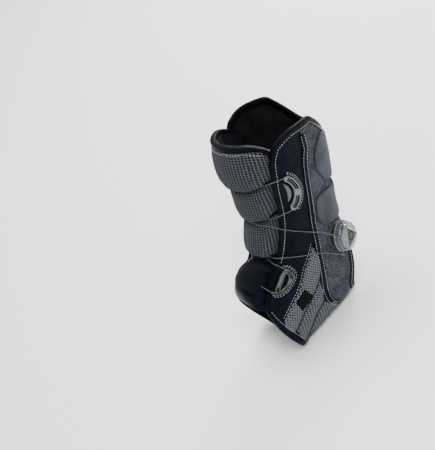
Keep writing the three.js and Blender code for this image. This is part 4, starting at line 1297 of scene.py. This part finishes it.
def faces_in_mm(things):
    """A search tree of the faces of some pieces, in mm."""
    points, polys = [], []
    for thing in things:
        start = len(points)
        co = np.empty(len(thing.data.vertices) * 3)
        thing.data.vertices.foreach_get("co", co)
        points.extend((co.reshape(-1, 3) / MM).tolist())
        polys += [[start + i for i in p.vertices] for p in thing.data.polygons]
    return BVHTree.FromPolygons(points, polys)


def row(tree, line, distance, span=(0, 1), closed=False, count=240, above=0.12):
    """A stitch row beside a path, laid on the surfaces of a tree."""
    t = np.linspace(*span, count)
    s, degrees = beside(line, t, distance, closed)
    way = normal(s, degrees)
    found = []
    for p, w in zip(skin(s, degrees, PROBE_FROM), way):
        hit = tree.ray_cast(Vector(p), Vector(-w), PROBE_REACH)[0]
        found.append(p - PROBE_FROM * w if hit is None else np.array(hit))
    found = np.array(found) + way * above
    found[:, 2] = np.maximum(found[:, 2], STITCH_REACH)
    return found, way


# Sewn channels at the bottom of the quarters' valleys, laid as dark tubes: partly the seams, partly painted
# shade that darkens the valleys.
for side in ("lateral", "medial"):
    quarter_tree = faces_in_mm([thing for thing in shell if thing.name == f"{side}_spacer_quarter"])
    for number, line in enumerate(RIB_VALLEYS, 1):
        channel = line if side == "lateral" else opposite(line)
        points, _ = row(quarter_tree, channel, 0.0, (0.03, 0.95), count=90, above=0.0)
        # Each dark tube is the sewn channel and painted shade along the valley floor.
        part_of(tube(f"{side}_valley_seam_and_shade_{number}", points, 0.55, 6, BINDING))

dress("lace_winding", STEEL)
for name in ("reel_base", "lace_spool", "pawl_ring", "release_collar", "axle_screw"):
    dress(name, OLIVE)


# ---- stitching ----
# Distances of the rows from the line that each follows, in mm.
RIM_ROW, HEM_ROW, STAY_ROW, SEAM_ROW = 4.9, 6.4, 2.15, 1.6
UPPER_GUIDE_ROWS, LOWER_GUIDE_ROWS = (4.9, 6.6), (3.6, 5.2)
# The front edge's rows are white down to the lowest crossing of the lace, and dark below it.
LACE_CROSSING = [0.62, 39.5]
shell_tree = faces_in_mm(shell + edges + pockets)
tongue_tree = faces_in_mm(pads + [top_hem, foot_hem])
dark_from, dark_to = (nearest(OUTLINE, place) for place in (LACE_CROSSING, other_side(LACE_CROSSING)))
rim_rows = [
    row(shell_tree, OUTLINE, RIM_ROW, span, True, count) for span, count in (
        ((front_span[0], dark_from), 300), ((dark_to, medial_span[1]), 300), (foot_span, 500),
        (rear_span, 300), ((dark_from, front_span[1]), 240), ((medial_span[0], dark_to), 240),
    )
]
white = rim_rows[:4] + [row(shell_tree, HEEL_OUTLINE, -RIM_ROW, (0, 1), True, 400)]
dark = rim_rows[4:] + [row(tongue_tree, rim_line(TONGUE_ROWS[4], 46), HEM_ROW, count=160)]
lateral_lines = STAY_LINE, DIAGONAL_SEAM, LATERAL_UPPER_GUIDE, LOWER_GUIDE
medial_lines = (*map(opposite, lateral_lines[:2]), *map(on_medial, lateral_lines[2:]))
for flip, (stay, seam, upper, lower) in ((1, lateral_lines), (-1, medial_lines)):
    white += [row(shell_tree, stay, away * flip, count=400) for away in (-STAY_ROW, STAY_ROW)]
    white.append(row(shell_tree, seam, -SEAM_ROW * flip, (0.04, 0.97), count=260))
    white += [row(shell_tree, upper, away * flip, (0.02, 0.98), count=120) for away in UPPER_GUIDE_ROWS]
    white += [row(shell_tree, lower, away * flip, (-0.02, 0.58), True, 160) for away in LOWER_GUIDE_ROWS]
white.append(row(tongue_tree, rim_line(tongue_top, 62), -HEM_ROW, count=200))
part_of(stitches("white_stitching", white, THREAD))
part_of(stitches("dark_stitching", dark, LINING))

# ---- stage ----
FLOOR_SIZE, FLOOR_DROP = 6, 0.0002
bpy.ops.mesh.primitive_plane_add(size=FLOOR_SIZE, location=(0, 0, -FLOOR_DROP))
floor = bpy.context.object
floor.name = "floor"
pale = Finish("pale_floor").done((0.97, 0.97, 0.97), 0.9, Specular_IOR_Level=0.2)
floor.data.materials.append(pale)

world = bpy.data.worlds.new("studio")
world.use_nodes = True
sky = world.node_tree.nodes["Background"].inputs
sky["Color"].default_value = (1, 1, 1, 1)
sky["Strength"].default_value = 0.75
bpy.context.scene.world = world

# Camera: azimuth, elevation and roll in degrees. In mm: the aim point, the camera's distance from it,
# the aim point's place right of and above the middle of the view, the lens and the sensor.
AZIMUTH, ELEVATION, ROLL = (math.radians(x) for x in (77.0, 34.0, 34.6))
AIM = np.array([0, 0, 100.0])
DISTANCE, RIGHT, UP = 1300.0, 65.9, -8.0
LENS, SENSOR = 104.0, 36
flat = math.cos(ELEVATION)
back = np.array([math.sin(AZIMUTH) * flat, -math.cos(AZIMUTH) * flat, math.sin(ELEVATION)])
level_right = np.array([math.cos(AZIMUTH), math.sin(AZIMUTH), 0])
level_up = np.cross(back, level_right)
right = level_right * math.cos(ROLL) - level_up * math.sin(ROLL)
up = level_right * math.sin(ROLL) + level_up * math.cos(ROLL)
camera_place = AIM - RIGHT * right - UP * up + DISTANCE * back
camera_data = bpy.data.cameras.new("camera")
camera_data.lens = LENS
camera_data.sensor_width = SENSOR
camera_data.clip_end = 20
camera = bpy.data.objects.new("camera", camera_data)
bpy.context.scene.collection.objects.link(camera)
turned_to = np.column_stack([right, up, back, camera_place * MM])
camera.matrix_world = Matrix([*turned_to.tolist(), [0, 0, 0, 1]])
bpy.context.scene.camera = camera


def lamp(name, toward, distance, size, power):
    """A soft square light aimed at the brace; toward is [right, up, back] as the camera sees it."""
    light = bpy.data.lights.new(name, "AREA")
    light.size = size
    light.energy = power
    way = sum(w * axis for w, axis in zip(toward, (right, up, back)))
    way /= np.linalg.norm(way)
    thing = bpy.data.objects.new(name, light)
    bpy.context.scene.collection.objects.link(thing)
    thing.location = (AIM * MM + way * distance).tolist()
    thing.rotation_mode = "QUATERNION"
    thing.rotation_quaternion = Vector(way.tolist()).to_track_quat("Z", "Y")


lamp("key_light", (-0.1, 0.35, 0.9), 1.6, 0.6, 22)
lamp("fill_light", (-0.5, 0.9, 0.3), 1.8, 1.0, 36)
lamp("rim_light", (0.2, 1.0, -0.5), 1.6, 0.7, 34)
